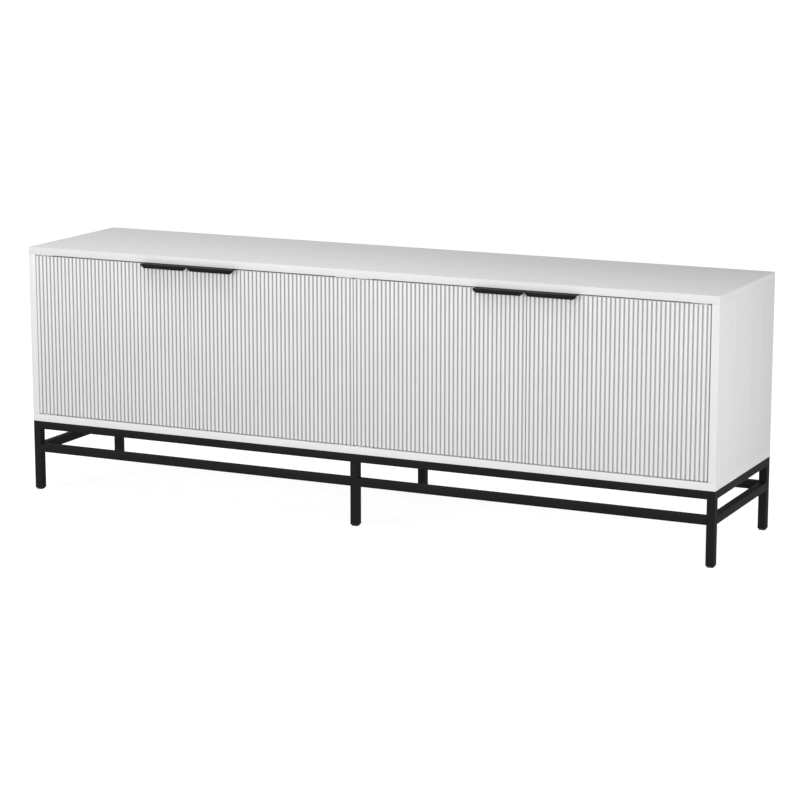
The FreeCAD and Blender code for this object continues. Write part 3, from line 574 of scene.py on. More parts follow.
@dataclass(frozen=True)
class Finish:
    """A surface: two tones mixed by a mask, tints over them, roughness and relief.

    A tint is the name of a mask, how far it counts from 0 to 1, and a colour. The edges are the
    width and breakup of the edge masks. Roughness goes from its first to its second value.
    """

    name: str
    light: Colour
    dark: Colour
    tints: tuple[tuple[str, float, Colour], ...]
    rough: tuple[float, float]
    relief: float
    edges: tuple[float, float] | None = None
    scale: float = 1.0
    grain: Grain | None = None
    tone_mask: str = "Mottle"
    rough_mask: str = "Mottle"
    height_mask: str = "Height"
    mottle: float = 1.0
    pore_depth: float | None = None
    dust: float | None = None
    dust_roughness: float | None = None
    # How strong the painted shade in hollows is, and how far it reaches.
    hollow: float | None = None
    painted_shade_reach: float = 6.0 * MM
    specular: float = 0.5
    metallic: float = 0.0

    def lay_masks(self, coat: Coat) -> dict[str, Socket]:
        """Place the effects that the finish uses.

        Args:
            coat: The material in the making.

        Returns:
            The effects' masks by name.
        """
        if self.grain:
            x, y, z = self.grain.value
            groups = [coat.effect("straight_grain", Length_X=x, Length_Y=y, Length_Z=z,
                                  Scale=self.scale)]
        else:
            groups = [coat.effect("fine_grit", Scale=self.scale)]
        if self.edges:
            groups.append(coat.effect("edge_highlight_and_wear", Width=self.edges[0], Breakup=self.edges[1]))
        if self.dust is not None:
            groups.append(coat.effect("settled_dust", Amount=self.dust))
        # Painted shade in hollows, when the finish asks for it.
        if self.hollow is not None:
            groups.append(coat.effect("sheltered_hollow", Reach=self.painted_shade_reach, Amount=self.hollow))
        return {socket.name: socket for group in groups for socket in group}

    def make(self) -> Material:
        """Make the material.

        Returns:
            The finished material.
        """
        coat = Coat(self.name)
        nodes = coat.nodes
        masks = self.lay_masks(coat)
        mix = nodes.times(masks[self.tone_mask], self.mottle)
        colour = nodes.blend(mix, opaque(self.dark), opaque(self.light))
        # Tints lay wear, pores and dust over the tones, and also painted edge highlights and painted shade
        # in hollows.
        for mask, amount, tone in self.tints:
            colour = nodes.blend(nodes.times(masks[mask], amount), colour, opaque(tone))
        rough = nodes.span(masks[self.rough_mask], FULL, self.rough)
        if self.dust_roughness is not None:
            dusty = nodes.times(masks["Dust"], self.dust_roughness)
            rough = nodes.combine("Math", "ADD", rough, dusty)[0]
        height = masks[self.height_mask]
        if self.pore_depth is not None:
            pores = nodes.times(masks["Pores"], self.pore_depth)
            height = nodes.combine("Math", "SUBTRACT", height, pores)[0]
        bump = nodes.add("Bump", None, Height=height, Distance=self.relief, Strength=1.0)
        coat.set(Base_Color=colour, Roughness=rough, Normal=bump.outputs[0],
                 Specular_IOR_Level=self.specular, Metallic=self.metallic)
        return coat.material


WOODEN = {"tone_mask": "Tone", "rough_mask": "Tone", "height_mask": "Tone"}


def laminate(name: str, light: Colour, dark: Colour, grain: Grain) -> Finish:
    """Describe matte melamine film on board, with a hardly visible straight grain.

    Args:
        name: The name of the material.
        light: The lighter tone.
        dark: The darker tone.
        grain: The way that the grain runs.

    Returns:
        The finish.
    """
    # The Edge tint is a painted highlight: every convex edge a little lighter.
    tints = (("Pores", 0.10, shade(dark, 0.86)), ("Edge", 0.25, grey(0.72)),
             ("Wear", 0.10, grey(0.55, 0.03)), ("Dust", 1.0, grey(0.60, 0.03)))
    return Finish(name, light, dark, tints, rough=(0.65, 0.57), relief=0.00003, edges=(0.9 * MM, 70.0),
                  grain=grain, pore_depth=0.6, dust=0.10, dust_roughness=0.5, specular=0.25, **WOODEN)


def lacquer(name: str, light: Colour, dark: Colour, rough: tuple[float, float], hollow: float) -> Finish:
    """Describe sprayed matte lacquer with a slight orange peel, and painted shade in narrow hollows.

    Args:
        name: The name of the material.
        light: The lighter tone.
        dark: The darker tone.
        rough: Its roughness, dark and light.
        hollow: How strong the painted shade in narrow hollows is, from 0 to 1.

    Returns:
        The finish.
    """
    # The second tint is painted shade: half the dark tone laid into narrow hollows.
    tints = (("Wear", 0.08, grey(0.58, 0.03)), ("Hollow", 1.0, shade(dark, 0.5)))
    return Finish(name, light, dark, tints, rough, relief=0.000012, edges=(0.8 * MM, 80.0),
                  scale=900.0, hollow=hollow, specular=0.4)


def powder_coat(name: str, lifted: Colour, base: Colour, rough: tuple[float, float], scale: float,
                relief: float) -> Finish:
    """Describe fine-textured matte powder coat on steel.

    Args:
        name: The name of the material.
        lifted: The lighter tone.
        base: The darker tone.
        rough: Its roughness, low and high.
        scale: How fine the grit is.
        relief: How deep the grit is.

    Returns:
        The finish.
    """
    # The Edge tint is a painted highlight: every convex edge evenly lighter; the Wear tint is the rubbed
    # edges.
    tints = (("Edge", 0.30, shade(lifted, 2.6)), ("Wear", 0.15, grey(0.16)),
             ("Dust", 1.0, grey(0.30, 0.04)))
    return Finish(name, lifted, base, tints, rough, relief, edges=(0.8 * MM, 120.0), scale=scale,
                  rough_mask="Height", mottle=0.6, dust=0.05, specular=0.18)


def plated(name: str, base: Colour, rough: tuple[float, float]) -> Finish:
    """Describe bright zinc plate or bare die casting.

    Args:
        name: The name of the material.
        base: The lighter tone.
        rough: Its roughness, dark and light.

    Returns:
        The finish.
    """
    # The Edge tint is a painted glint: every edge of the metal evenly brighter.
    tints = (("Edge", 0.4, grey(0.85)),)
    return Finish(name, base, shade(base, 0.72), tints, rough, relief=0.00001,
                  edges=(0.4 * MM, 200.0), scale=2400.0, metallic=1.0)


def moulded(name: str, base: Colour, rough: tuple[float, float]) -> Finish:
    """Describe moulded plastic with a spark-eroded texture.

    Args:
        name: The name of the material.
        base: The lighter tone.
        rough: Its roughness, low and high.

    Returns:
        The finish.
    """
    scuffed = tuple(min(1.0, part + 0.02) for part in shade(base, 1.3))
    return Finish(name, base, shade(base, 0.88), (("Wear", 0.2, scuffed),), rough, relief=0.00003,
                  edges=(0.5 * MM, 150.0), scale=2600.0, rough_mask="Height", specular=0.35)


def timber(name: str, light: Colour, dark: Colour, grain: Grain, scale: float) -> Finish:
    """Describe bare wood or fibreboard with visible fibres.

    Args:
        name: The name of the material.
        light: The lighter tone.
        dark: The darker tone.
        grain: The way that the grain runs.
        scale: How fine the grain is.

    Returns:
        The finish.
    """
    return Finish(name, light, dark, (("Pores", 0.4, shade(dark, 0.7)),), rough=(0.72, 0.6),
                  relief=0.00008, scale=scale, grain=grain, **WOODEN)


class Palette:
    """Every finish of the cabinet, each made once."""

    def __init__(self) -> None:
        """Make all the materials."""
        # The lying boards take a tone a shade darker than the uprights of the same laminate: painted shade
        # on the top and the other lying boards.
        self.board = laminate("white_laminate", grey(0.690), grey(0.660), Grain.ALONG).make()
        self.upright = laminate("white_laminate_upright", grey(0.700), grey(0.670), Grain.UPRIGHT).make()
        # The edge bands take no painted shade in hollows, and the doors take a strong one in their grooves.
        self.banding = lacquer("white_edge_band", grey(0.70), grey(0.68), (0.44, 0.37),
                               hollow=0.0).make()
        self.door = lacquer("white_lacquer", grey(0.72), grey(0.70), (0.46, 0.39), hollow=0.66).make()
        self.steel = powder_coat("black_powder_coat", grey(0.0050), grey(0.0028), (0.52, 0.66),
                                 scale=1700.0, relief=0.00004).make()
        self.pull = powder_coat("black_pull_coat", grey(0.0048), grey(0.0026), (0.44, 0.58),
                                scale=2300.0, relief=0.00002).make()
        self.zinc = plated("zinc_plate", grey(0.68, 0.01), (0.44, 0.32)).make()
        self.casting = plated("zinc_casting", grey(0.5), (0.60, 0.48)).make()
        self.nylon = moulded("white_nylon", grey(0.74, 0.01), (0.45, 0.56)).make()
        self.rubber = moulded("black_glide_plastic", grey(0.010), (0.55, 0.66)).make()
        self.hardboard = timber("printed_hardboard", grey(0.73, 0.012), grey(0.69, 0.012),
                                Grain.NONE, scale=2.2).make()
        self.beech = timber("bare_beech", (0.60, 0.42, 0.26), (0.46, 0.30, 0.17),
                            Grain.UPRIGHT, scale=2.0).make()


# Dressing a piece and fixing it to its body -----------------------------------------------
def hand_over(piece: Piece, material: Material, slot: str, body: str, *nodes: str) -> None:
    """Dress a piece, fix it to its body and hide the CAD nodes that it replaces.

    Args:
        piece: The finished object.
        material: Its finish.
        slot: Not used.
        body: The body that it moves with.
        *nodes: The CAD nodes that it replaces.
    """
    piece.data.materials.clear()
    piece.data.materials.append(material)
    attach(piece, body)
    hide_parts(*nodes)
    LOG.info("%s rides on %s with %d faces", piece.name, body, len(piece.data.polygons))


def dress_node(node: str, material: Material) -> None:
    """Give a carried-over CAD node its finish.

    Args:
        node: The node's name.
        material: Its finish.
    """
    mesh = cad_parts[node].data
    mesh.materials.clear()
    mesh.materials.append(material)
    LOG.info("%s keeps its shape and takes %s", node, material.name)


# Carcass ----------------------------------------------------------------------------------
class Side(Enum):
    """A side of a board, as its axis and the way that it looks along it."""

    LEFT = (0, -1)
    RIGHT = (0, 1)
    FRONT = (1, -1)
    BACK = (1, 1)


@dataclass
class Board:
    """A laminated board with glued edge bands."""

    node: str
    bands: tuple[Side, ...]
    upright: bool = False
    band: float = 1.0 * MM
    rim: float = 0.55 * MM
    seam: float = 0.12 * MM
    rebate: Box | None = None
    holes: list[Hole] = field(default_factory=list)
    twins: tuple[str, ...] = ()

    def build(self, palette: Palette) -> None:
        """Model the core and its bands and hand them over.

        Args:
            palette: The finishes.
        """
        low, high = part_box(self.node)
        low, high = low.copy(), high.copy()
        strips = [self.trim(side, low, high) for side in self.bands]
        core = add_block(f"{self.node}_core", low, high)
        if self.rebate:
            cut(core, add_block("rebate_tool", *self.rebate))
        for hole in self.holes:
            drill(core, *hole)
        soften(core, self.seam)
        self.place(core, "core", palette.upright if self.upright else palette.board)
        for side, strip_low, strip_high in strips:
            strip = add_block(f"{self.node}_band_{side.name.lower()}", strip_low, strip_high)
            self.round_rim(strip, side, strip_low, strip_high)
            if self.rebate and side is Side.BACK:
                cut(strip, add_block("rebate_tool", *self.rebate))
            smooth(strip)
            self.place(strip, f"band_{side.name.lower()}", palette.banding)

    def place(self, piece: Piece, part: str, finish: Material) -> None:
        """Copy one piece of the board to its twins and hand them all over.

        Args:
            piece: The piece, which stands in this board's place.
            part: The end of its name.
            finish: Its finish.
        """
        places = {f"{node}_{part}": node for node in (self.node, *self.twins)}
        for node, copy in spread(piece, places).items():
            hand_over(copy, finish, "white_laminate", "cabinet", node)

    def trim(self, side: Side, low: Vector, high: Vector) -> tuple[Side, Vector, Vector]:
        """Take a band's thickness off the core and return the band's own box.

        Args:
            side: The banded side.
            low: The core's lowest corner, changed in place.
            high: The core's highest corner, changed in place.

        Returns:
            The side and the band's lowest and highest corners.
        """
        axis, way = side.value
        strip_low, strip_high = low.copy(), high.copy()
        if way < 0:
            low[axis] += self.band
            strip_high[axis] = low[axis]
        else:
            high[axis] -= self.band
            strip_low[axis] = high[axis]
        return side, strip_low, strip_high

    def round_rim(self, strip: Piece, side: Side, low: Vector, high: Vector) -> None:
        """Round the long outer edges of a band.

        Args:
            strip: The band.
            side: The banded side.
            low: The band's lowest corner.
            high: The band's highest corner.
        """
        axis, way = side.value
        face = low[axis] if way < 0 else high[axis]
        round_edges(strip, lambda edge: lies_at(edge, **{"xyz"[axis]: face}), self.rim, segments=3)


@dataclass
class Carcass:
    """The white box: boards, shelves, backs and the fittings that hold them."""

    rebate_lap: float = 9.0 * MM
    back_sheet: float = 3.0 * MM
    pin_hole: float = 2.6 * MM
    pin_hole_depth: float = 8.5 * MM
    pin_step: float = 32.0 * MM
    cam_hole: float = 7.6 * MM
    cam_depth: float = 12.6 * MM
    slack: float = 1.0 * MM

    def build(self, palette: Palette) -> None:
        """Model every board and dress what stays as it is.

        Args:
            palette: The finishes.
        """
        all_round = (Side.FRONT, Side.BACK, Side.LEFT, Side.RIGHT)
        Board("top_panel", all_round, rebate=self.lying_rebate("top_panel", upper=True)).build(palette)
        Board("bottom_panel", all_round,
              rebate=self.lying_rebate("bottom_panel", upper=False)).build(palette)
        for word in ("left", "right"):
            node = f"side_panel_{word}"
            inward = 1 if word == "left" else -1
            Board(node, (Side.FRONT, Side.BACK), True, rebate=self.upright_rebate(node, inward),
                  holes=self.pin_holes(node, inward) + self.cam_holes(node, inward)).build(palette)
        node = "centre_partition"
        holes = self.pin_holes(node, 1) + self.pin_holes(node, -1) + self.cam_holes(node, -1)
        Board(node, (Side.FRONT,), True, holes=holes).build(palette)
        Board("shelf_left", (Side.FRONT,), twins=("shelf_right",)).build(palette)
        for word in ("left", "right"):
            dress_node(f"back_panel_{word}", palette.hardboard)
        for node in ("shelf_pins", "pivot_plates_upper", "pivot_plates_lower", "pivot_screws",
                     "catch_screws", "back_screws", "frame_screws", "assembly_screws", "cam_bolts"):
            dress_node(node, palette.zinc)
        dress_node("cam_locks", palette.casting)
        dress_node("dowels", palette.beech)
        dress_node("magnetic_catches", palette.nylon)

    def lying_rebate(self, node: str, upper: bool) -> Box:
        """Place the tool for the rebate of the top or bottom board.

        Args:
            node: The board.
            upper: Whether it is the top board.

        Returns:
            The tool's lowest and highest corners.
        """
        low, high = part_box(node)
        inset = self.side_inset()
        start = Vector((low.x + inset, high.y - self.back_sheet, low.z - self.slack))
        end = Vector((high.x - inset, high.y + self.slack, low.z + self.rebate_lap))
        if not upper:
            start.z = high.z - self.rebate_lap
            end.z = high.z + self.slack
        return start, end

    def side_inset(self) -> float:
        """Return how far the rebate stays off the ends of the lying boards."""
        low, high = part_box("side_panel_left")
        return high.x - low.x - self.rebate_lap

    def upright_rebate(self, node: str, inward: int) -> Box:
        """Place the tool for the rebate of a side board.

        Args:
            node: The board.
            inward: 1 if its inner face looks to +X, else -1.

        Returns:
            The tool's lowest and highest corners.
        """
        low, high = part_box(node)
        inner = high.x if inward > 0 else low.x
        lap = sorted((inner - inward * self.rebate_lap, inner + inward * self.slack))
        start = Vector((lap[0], high.y - self.back_sheet, low.z - self.slack))
        return start, Vector((lap[1], high.y + self.slack, high.z + self.slack))

    def pin_holes(self, node: str, inward: int) -> list[Hole]:
        """Return the two rows of shelf pin holes in one face of an upright."""
        return self.holes(node, inward, "shelf_pins", (-1, 0, 1), self.pin_hole_depth, self.pin_hole)

    def cam_holes(self, node: str, inward: int) -> list[Hole]:
        """Return the two holes for cam locks in one face of an upright."""
        return self.holes(node, inward, "cam_locks", (0,), self.cam_depth, self.cam_hole)

    def holes(self, node: str, inward: int, fitting: str, steps: Sequence[int], depth: float,
              radius: float) -> list[Hole]:
        """Place the holes for round fittings in one face of an upright, in a front and a back row.

        Args:
            node: The upright.
            inward: 1 if the bored face looks to +X, else -1.
            fitting: The CAD node of all the fittings.
            steps: Which steps of a row are bored, counted up from the fittings.
            depth: How deep the holes are.
            radius: How wide they are from the middle.

        Returns:
            The start, end and radius of each hole.
        """
        low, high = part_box(node)
        face = high.x if inward > 0 else low.x
        low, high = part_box(fitting)
        half = (high.z - low.z) / 2
        way = Vector((inward, 0, 0))
        spots = [Vector((face, y, low.z + half + step * self.pin_step))
                 for y in (low.y + half, high.y - half) for step in steps]
        return [(spot + way * self.slack, spot - way * depth, radius) for spot in spots]


# Doors ------------------------------------------------------------------------------------
@dataclass
class Door:
    """A ribbed door with its pull and hinge bushes."""

    number: int
    rib_pitch: float = 10.84 * MM
    groove_depth: float = 4.6 * MM
    groove_width: float = 2.8 * MM
    rib_round: float = 3.0 * MM
    round_segments: int = 5
    rim: float = 0.35 * MM
    bush_hole: float = 3.65 * MM
    bush_depth: float = 12.0 * MM
    touch: float = 0.02 * MM

    @property
    def body(self) -> str:
        """Return the name of the door's moving body."""
        return f"door_{self.number}"

    @property
    def hinged_left(self) -> bool:
        """Say whether the door turns on its left edge."""
        return self.number % 2 == 1

    def fit(self, panel: Piece, pull: Piece, palette: Palette) -> None:
        """Hand the panel and the pull over, and dress the small fittings.

        Args:
            panel: This door's panel.
            pull: This door's pull.
            palette: The finishes.
        """
        hand_over(panel, palette.door, "white_lacquer", self.body, f"door_panel_{self.number}")
        hand_over(pull, palette.pull, "black_steel", self.body, f"door_pull_{self.number}")
        dress_node(f"pull_screws_{self.number}", palette.zinc)
        dress_node(f"strike_plate_{self.number}", palette.zinc)
        dress_node(f"pivot_bushes_{self.number}", palette.nylon)

    def make_panel(self) -> Piece:
        """Model the panel: the plan of its ribs, drawn up to the door's height.

        Returns:
            The finished panel.
        """
        low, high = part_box(f"door_panel_{self.number}")
        width = high.x - low.x
        grooves = int(width / self.rib_pitch)
        end_width = (width - (grooves - 1) * self.rib_pitch) / 2
        ribs = self.rib_plan("ribs", low, low.x + end_width, self.rib_pitch, (True, True))
        apply_modifier(ribs, "ARRAY", count=grooves - 1, use_relative_offset=False,
                       use_constant_offset=True, constant_offset_displace=(self.rib_pitch, 0, 0),
                       use_merge_vertices=True, merge_threshold=self.touch / 2)
        left = self.rib_plan("left_rib", low, low.x, end_width, (False, True))
        right = self.rib_plan("right_rib", low, high.x - end_width, end_width, (True, False))
        panel = merge(f"door_{self.number}_panel", [ribs, left, right])
        with editing(panel, "FACE"):
            bpy.ops.mesh.select_all(action="SELECT")
            bpy.ops.mesh.remove_doubles(threshold=self.touch)
            bpy.ops.mesh.extrude_region_move(TRANSFORM_OT_translate={"value": (0, 0, high.z - low.z)})
            bpy.ops.mesh.select_all(action="SELECT")
            bpy.ops.mesh.normals_make_consistent(inside=False)
        self.soften_rim(panel, low, high)
        self.bore_bushes(panel)
        smooth(panel)
        return panel

    def rib_plan(self, name: str, low: Vector, start: float, width: float,
                 rounded: tuple[bool, bool]) -> Piece:
        """Draw one rib with the board behind it, in plan.

        Args:
            name: The object's name.
            low: The door's lowest corner.
            start: The rib's left edge.
            width: The rib's width.
            rounded: Whether its left and its right front corner are rounded.

        Returns:
            A flat face at the foot of the door.
        """
        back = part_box(f"door_panel_{self.number}")[1].y
        spot = (start + width / 2, (low.y + back) / 2, low.z)
        bpy.ops.mesh.primitive_plane_add(size=1.0, location=spot)
        bpy.context.active_object.scale = (width, back - low.y, 1.0)
        piece = adopt(name)
        half = self.groove_width / 2
        walls = [(start + half, -1), (start + width - half, 1)]
        walls = [wall for wall, wanted in zip(walls, rounded) if wanted]
        floor = low.y + self.groove_depth
        with editing(piece, "FACE"):
            for x, _ in walls:
                slice_all((x, floor, low.z), (1, 0, 0))
            slice_all((start, floor, low.z), (0, 1, 0))
            pick(piece, "faces", lambda face: middle(face).y < floor
                 and any((middle(face).x - x) * way > 0 for x, way in walls))
            bpy.ops.mesh.delete(type="FACE")
        with editing(piece, "VERT"):
            pick(piece, "verts", lambda vert: near(vert.co.y, low.y)
                 and any(near(vert.co.x, x) for x, _ in walls))
            bpy.ops.mesh.bevel(offset=self.rib_round, segments=self.round_segments, profile=0.5,
                               affect="VERTICES")
        return piece

    def soften_rim(self, panel: Piece, low: Vector, high: Vector) -> None:
        """Round the rims of the panel's two ends and its upright outer corners.

        Args:
            panel: The panel.
            low: Its lowest corner.
            high: Its highest corner.
        """
        def is_rim(edge: bmesh.types.BMEdge) -> bool:
            """Say whether an edge is on a rim or an upright outer corner.

            Args:
                edge: The edge to test.

            Returns:
                Whether it is rounded.
            """
            if len(edge.link_faces) != 2:
                return False
            ups = [abs(face.normal.z) > 0.9 for face in edge.link_faces]
            spot = middle(edge)
            corner = (any(near(spot.x, x) for x in (low.x, high.x))
                      and any(near(spot.y, y) for y in (low.y, high.y)))
            return ups[0] != ups[1] or (corner and not any(ups))
        with editing(panel):
            pick(panel, "edges", is_rim)
            bpy.ops.transform.edge_bevelweight(value=1.0)
        apply_modifier(panel, "BEVEL", width=self.rim, segments=2, limit_method="WEIGHT")

    def bore_bushes(self, panel: Piece) -> None:
        """Bore the holes for the hinge bushes in the panel's two ends.

        Args:
            panel: The panel.
        """
        low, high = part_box(f"pivot_bushes_{self.number}")
        x, y = (low.x + high.x) / 2, (low.y + high.y) / 2
        for end, way in ((low.z, 1), (high.z, -1)):
            start = Vector((x, y, end - way * MM))
            drill(panel, start, Vector((x, y, end + way * self.bush_depth)), self.bush_hole)


@dataclass
class Pull:
    """A bent sheet pull on the door's top edge."""

    number: int
    sheet: float = 2.0 * MM
    bend: float = 1.0 * MM
    cut_wide: float = 8.0 * MM
    cut_tall: float = 5.8 * MM
    screw_inset: float = 18.0 * MM
    seat: float = 14.0 * MM
    hole: float = 1.6 * MM
    sink: float = 3.0 * MM
    rim: float = 0.15 * MM

    def make(self) -> Piece:
        """Model the pull from a flat strip with its lip turned down.

        Returns:
            The finished pull.
        """
        low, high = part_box(f"door_pull_{self.number}")
        under = high.z - self.sheet
        pull = add_block(f"door_{self.number}_pull", Vector((low.x, low.y, under)), high)
        lip = low.y + self.sheet
        with editing(pull, "FACE"):
            slice_all((0, lip, 0), (0, 1, 0))
            pick(pull, "faces", lambda face: face.normal.z < -0.9 and middle(face).y < lip)
            bpy.ops.mesh.extrude_region_move(TRANSFORM_OT_translate={"value": (0, 0, low.z - under)})
        for x, way in ((low.x, 1), (high.x, -1)):
            self.cut_corner(pull, x, way, low.z)
        round_edges(pull, lambda edge: lies_at(edge, y=low.y, z=high.z), self.bend, segments=5)
        round_edges(pull, lambda edge: lies_at(edge, y=lip, z=under), self.bend / 2, segments=3)
        for x in (low.x + self.screw_inset, high.x - self.screw_inset):
            self.sink_screw(pull, Vector((x, high.y - self.seat / 2, high.z)))
        soften(pull, self.rim)
        return pull

    def cut_corner(self, pull: Piece, x: float, way: int, foot: float) -> None:
        """Cut one lower corner of the lip away at a slant.

        Args:
            pull: The pull.
            x: The end of the pull.
            way: 1 if the pull lies on the +X side of that end, else -1.
            foot: The lip's lowest level.
        """
        outward = Vector((-way * self.cut_tall, 0, -self.cut_wide)).normalized()
        with editing(pull, "FACE"):
            slice_all((x + way * self.cut_wide, 0, foot), outward, use_fill=True, clear_outer=True)

    def sink_screw(self, pull: Piece, top: Vector) -> None:
        """Drill and countersink one screw hole.

        Args:
            pull: The pull.
            top: The middle of the hole on the pull's top.
        """
        up = Vector((0, 0, 1))
        drill(pull, top - up * 2 * self.sheet, top + up * self.sheet, self.hole)
        sink = self.sink - self.hole
        radii = (self.hole, self.hole + 2 * sink)
        cut(pull, add_rod("countersink", top - up * sink, top + up * sink, radii))


@dataclass
class DoorSet:
    """The row of doors: one pull for all, and one panel for each way of hinging."""

    count: int = 4

    def build(self, palette: Palette) -> None:
        """Model what is alike once, copy it into place and hand every door over.

        Args:
            palette: The finishes.
        """
        doors = [Door(number) for number in range(1, self.count + 1)]
        places = {f"door_{door.number}_pull": f"door_pull_{door.number}" for door in doors}
        pulls = spread(Pull(1).make(), places)
        panels = {}
        for side in (True, False):
            alike = [door for door in doors if door.hinged_left is side]
            places = {f"door_{door.number}_panel": f"door_panel_{door.number}" for door in alike}
            panels |= spread(alike[0].make_panel(), places)
        for door in doors:
            door.fit(panels[f"door_panel_{door.number}"], pulls[f"door_pull_{door.number}"], palette)


# Stand ------------------------------------------------------------------------------------
@dataclass
class Stand:
    """The welded stand of square tube, on plastic glides."""

    corner: float = 1.5 * MM
    end_rim: float = 0.12 * MM
    pad_rim: float = 1.0 * MM
    glide_rim: float = 0.2 * MM
    flange: float = 1.0 * MM
    pad_inset: float = 2.5 * MM
    screw_hole: float = 5.1 * MM
    screw_head: float = 5.0 * MM
    rail_screws: int = 4
    tube_wall: float = 1.5 * MM
    grid: float = 0.01 * MM
    bored: tuple[str, ...] = ("upper_rail_front", "upper_rail_back")

    def build(self, palette: Palette) -> None:
        """Model every tube and glide.

        Args:
            palette: The finishes.
        """
        tubes = self.named("leg_") + self.named("lower_rail_") + self.named("upper_rail_")
        for alike in self.sort_alike(tubes):
            places = {f"{node}_tube": node for node in alike}
            for node, tube in spread(self.make_tube(alike[0]), places).items():
                hand_over(tube, palette.steel, "black_steel", "cabinet", node)
        glides = self.make_glides()
        hand_over(glides, palette.rubber, "black_plastic", "cabinet", "foot_glides")

    def named(self, start: str) -> list[str]:
        """Return the CAD nodes whose names start with a word, in order."""
        return sorted(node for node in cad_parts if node.startswith(start))

    def sort_alike(self, nodes: Sequence[str]) -> list[list[str]]:
        """Group the tubes that have the same size and bores.

        Args:
            nodes: The CAD nodes of all tubes.

        Returns:
            The groups, each a list of nodes.
        """
        groups: dict[tuple[object, ...], list[str]] = {}
        for node in nodes:
            low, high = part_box(node)
            size = tuple(round(part / self.grid) for part in high - low)
            groups.setdefault((size, node in self.bored), []).append(node)
        return list(groups.values())

    def make_tube(self, node: str) -> Piece:
        """Model one length of tube with rounded long edges.

        Args:
            node: The CAD node that it stands for.

        Returns:
            The finished tube.
        """
        low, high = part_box(node)
        size = high - low
        axis = max(range(3), key=lambda index: size[index])
        tube = add_block(f"{node}_tube", low, high)
        round_edges(tube, lambda edge: near(abs((edge.verts[0].co - edge.verts[1].co)[axis]), size[axis]),
                    self.corner, segments=5)
        if node in self.bored:
            self.bore_for_screws(tube, low, high)
        soften(tube, self.end_rim, 1)
        return tube

    def bore_for_screws(self, tube: Piece, low: Vector, high: Vector) -> None:
        """Bore the access holes for the frame screws in a rail's underside.

        Args:
            tube: The rail.
            low: Its lowest corner.
            high: Its highest corner.
        """
        screw_low, screw_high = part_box("frame_screws")
        first, last = screw_low.x + self.screw_head, screw_high.x - self.screw_head
        y = (low.y + high.y) / 2
        for step in range(self.rail_screws):
            x = first + (last - first) * step / (self.rail_screws - 1)
            drill(tube, Vector((x, y, low.z - MM)), Vector((x, y, high.z - self.tube_wall)), self.screw_hole)

    def make_glides(self) -> Piece:
        """Model one glide and copy it under every leg.

        Returns:
            All glides as one object.
        """
        legs = self.named("leg_")
        copies = spread(self.make_glide(*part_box(legs[0])), {f"glide_{leg}": leg for leg in legs})
        return merge("foot_glides_moulded", list(copies.values()))

    def make_glide(self, low: Vector, high: Vector) -> Piece:
        """Model the glide under one leg: a flange as wide as the tube and a smaller pad.

        Args:
            low: The leg's lowest corner.
            high: The leg's highest corner.

        Returns:
            The finished glide.
        """
        floor = CAD_BOX[0].z
        top = low.z - self.flange
        glide = add_block("glide", Vector((low.x, low.y, top)), Vector((high.x, high.y, low.z)))
        with editing(glide, "FACE"):
            pick(glide, "faces", lambda face: face.normal.z < -0.9)
            bpy.ops.mesh.inset(thickness=self.pad_inset)
            bpy.ops.mesh.extrude_region_move(TRANSFORM_OT_translate={"value": (0, 0, floor - top)})
        round_edges(glide, lambda edge: lies_at(edge, z=floor), self.pad_rim, segments=3)
        soften(glide, self.glide_rim)
        return glide


# Studio -----------------------------------------------------------------------------------
@dataclass(frozen=True)
class Lamp:
    """A soft box: its name, its place, its width and height, and its power in watts."""

    name: str
    spot: tuple[float, float, float]
    size: tuple[float, float]
    power: float


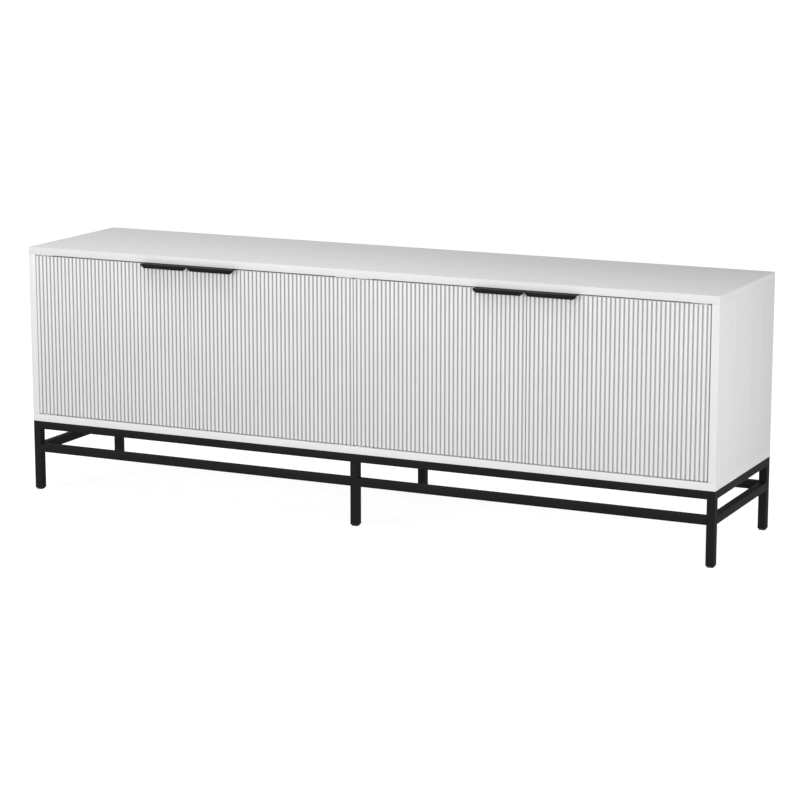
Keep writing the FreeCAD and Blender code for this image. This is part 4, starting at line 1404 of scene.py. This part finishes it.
@dataclass
class Studio:
    """A plain white floor, soft light and the camera."""

    azimuth: float = 25.447
    elevation: float = 11.446
    distance: float = 6.342
    target: tuple[float, float, float] = (0.0315, -0.0019, 0.2757)
    lens: float = 117.68
    sensor: float = 36.0
    far_clip: float = 1000.0
    floor_size: float = 400.0
    floor_tone: float = 0.35
    floor_glow: float = 0.30
    floor_white: float = 0.86
    sky: float = 0.42
    aim: tuple[float, float, float] = (0.3, 0.0, 0.3)
    lamps: tuple[Lamp, ...] = (
        Lamp("key", (4.6, -7.6, 1.8), (2.4, 2.0), 318.0),
        Lamp("fill", (-4.4, -7.6, 1.8), (2.4, 2.0), 228.0),
        Lamp("side", (4.2, -0.3, 0.8), (1.4, 1.0), 38.0),
        Lamp("overhead", (-1.1, -0.3, 3.6), (3.0, 1.6), 56.0),
    )

    def build(self) -> None:
        """Set up the floor, the lights, the sky and the camera."""
        self.lay_floor()
        self.light_sky()
        for lamp in self.lamps:
            self.hang(lamp)
        self.place_camera()
        bpy.context.scene.view_settings.view_transform = "Standard"

    def lay_floor(self) -> None:
        """Lay a floor that the camera sees as white and all else as a darker grey."""
        bpy.ops.mesh.primitive_plane_add(size=self.floor_size, location=(0, 0, CAD_BOX[0].z))
        floor = bpy.context.active_object
        floor.name = "floor"
        coat = Coat("studio_floor")
        seen = coat.nodes.add("LightPath").outputs["Is Camera Ray"]
        glow = coat.nodes.span(seen, FULL, (self.floor_glow, self.floor_white))
        coat.set(Base_Color=opaque(grey(self.floor_tone)), Roughness=0.9, Specular_IOR_Level=0.0,
                 Emission_Color=opaque(grey(1.0)), Emission_Strength=glow)
        floor.data.materials.append(coat.material)

    def light_sky(self) -> None:
        """Light the scene evenly from all around."""
        world = bpy.data.worlds.new("studio_sky")
        bpy.context.scene.world = world
        world.use_nodes = True
        nodes = Nodes(world.node_tree)
        glow = nodes.add("Background", None, Color=opaque(grey(1.0)), Strength=self.sky)
        nodes.add("OutputWorld", None, Surface=glow.outputs[0])

    def hang(self, lamp: Lamp) -> None:
        """Hang a soft box in its place and turn it to the cabinet.

        Args:
            lamp: The soft box.
        """
        data = bpy.data.lights.new(lamp.name, "AREA")
        data.shape = "RECTANGLE"
        data.size, data.size_y = lamp.size
        data.energy = lamp.power
        light = bpy.data.objects.new(lamp.name, data)
        bpy.context.scene.collection.objects.link(light)
        light.location = lamp.spot
        way = Vector(self.aim) - Vector(lamp.spot)
        light.rotation_euler = way.to_track_quat("-Z", "Y").to_euler()

    def place_camera(self) -> None:
        """Put the camera on its ray round the target and look back along it."""
        turn, lift = math.radians(self.azimuth), math.radians(self.elevation)
        level = math.cos(lift)
        back = Vector((math.sin(turn) * level, -math.cos(turn) * level, math.sin(lift)))
        data = bpy.data.cameras.new("camera")
        data.lens = self.lens
        data.sensor_width = self.sensor
        data.clip_end = self.far_clip
        camera = bpy.data.objects.new("camera", data)
        bpy.context.scene.collection.objects.link(camera)
        camera.location = Vector(self.target) + back * self.distance
        camera.rotation_euler = (-back).to_track_quat("-Z", "Y").to_euler()
        bpy.context.scene.camera = camera


def main() -> None:
    """Build the cabinet, piece by piece, and the studio around it."""
    logging.basicConfig(level=logging.INFO, format="%(name)s: %(message)s")
    palette = Palette()
    Carcass().build(palette)
    DoorSet().build(palette)
    Stand().build(palette)
    Studio().build()


if __name__ == "__main__":
    main()
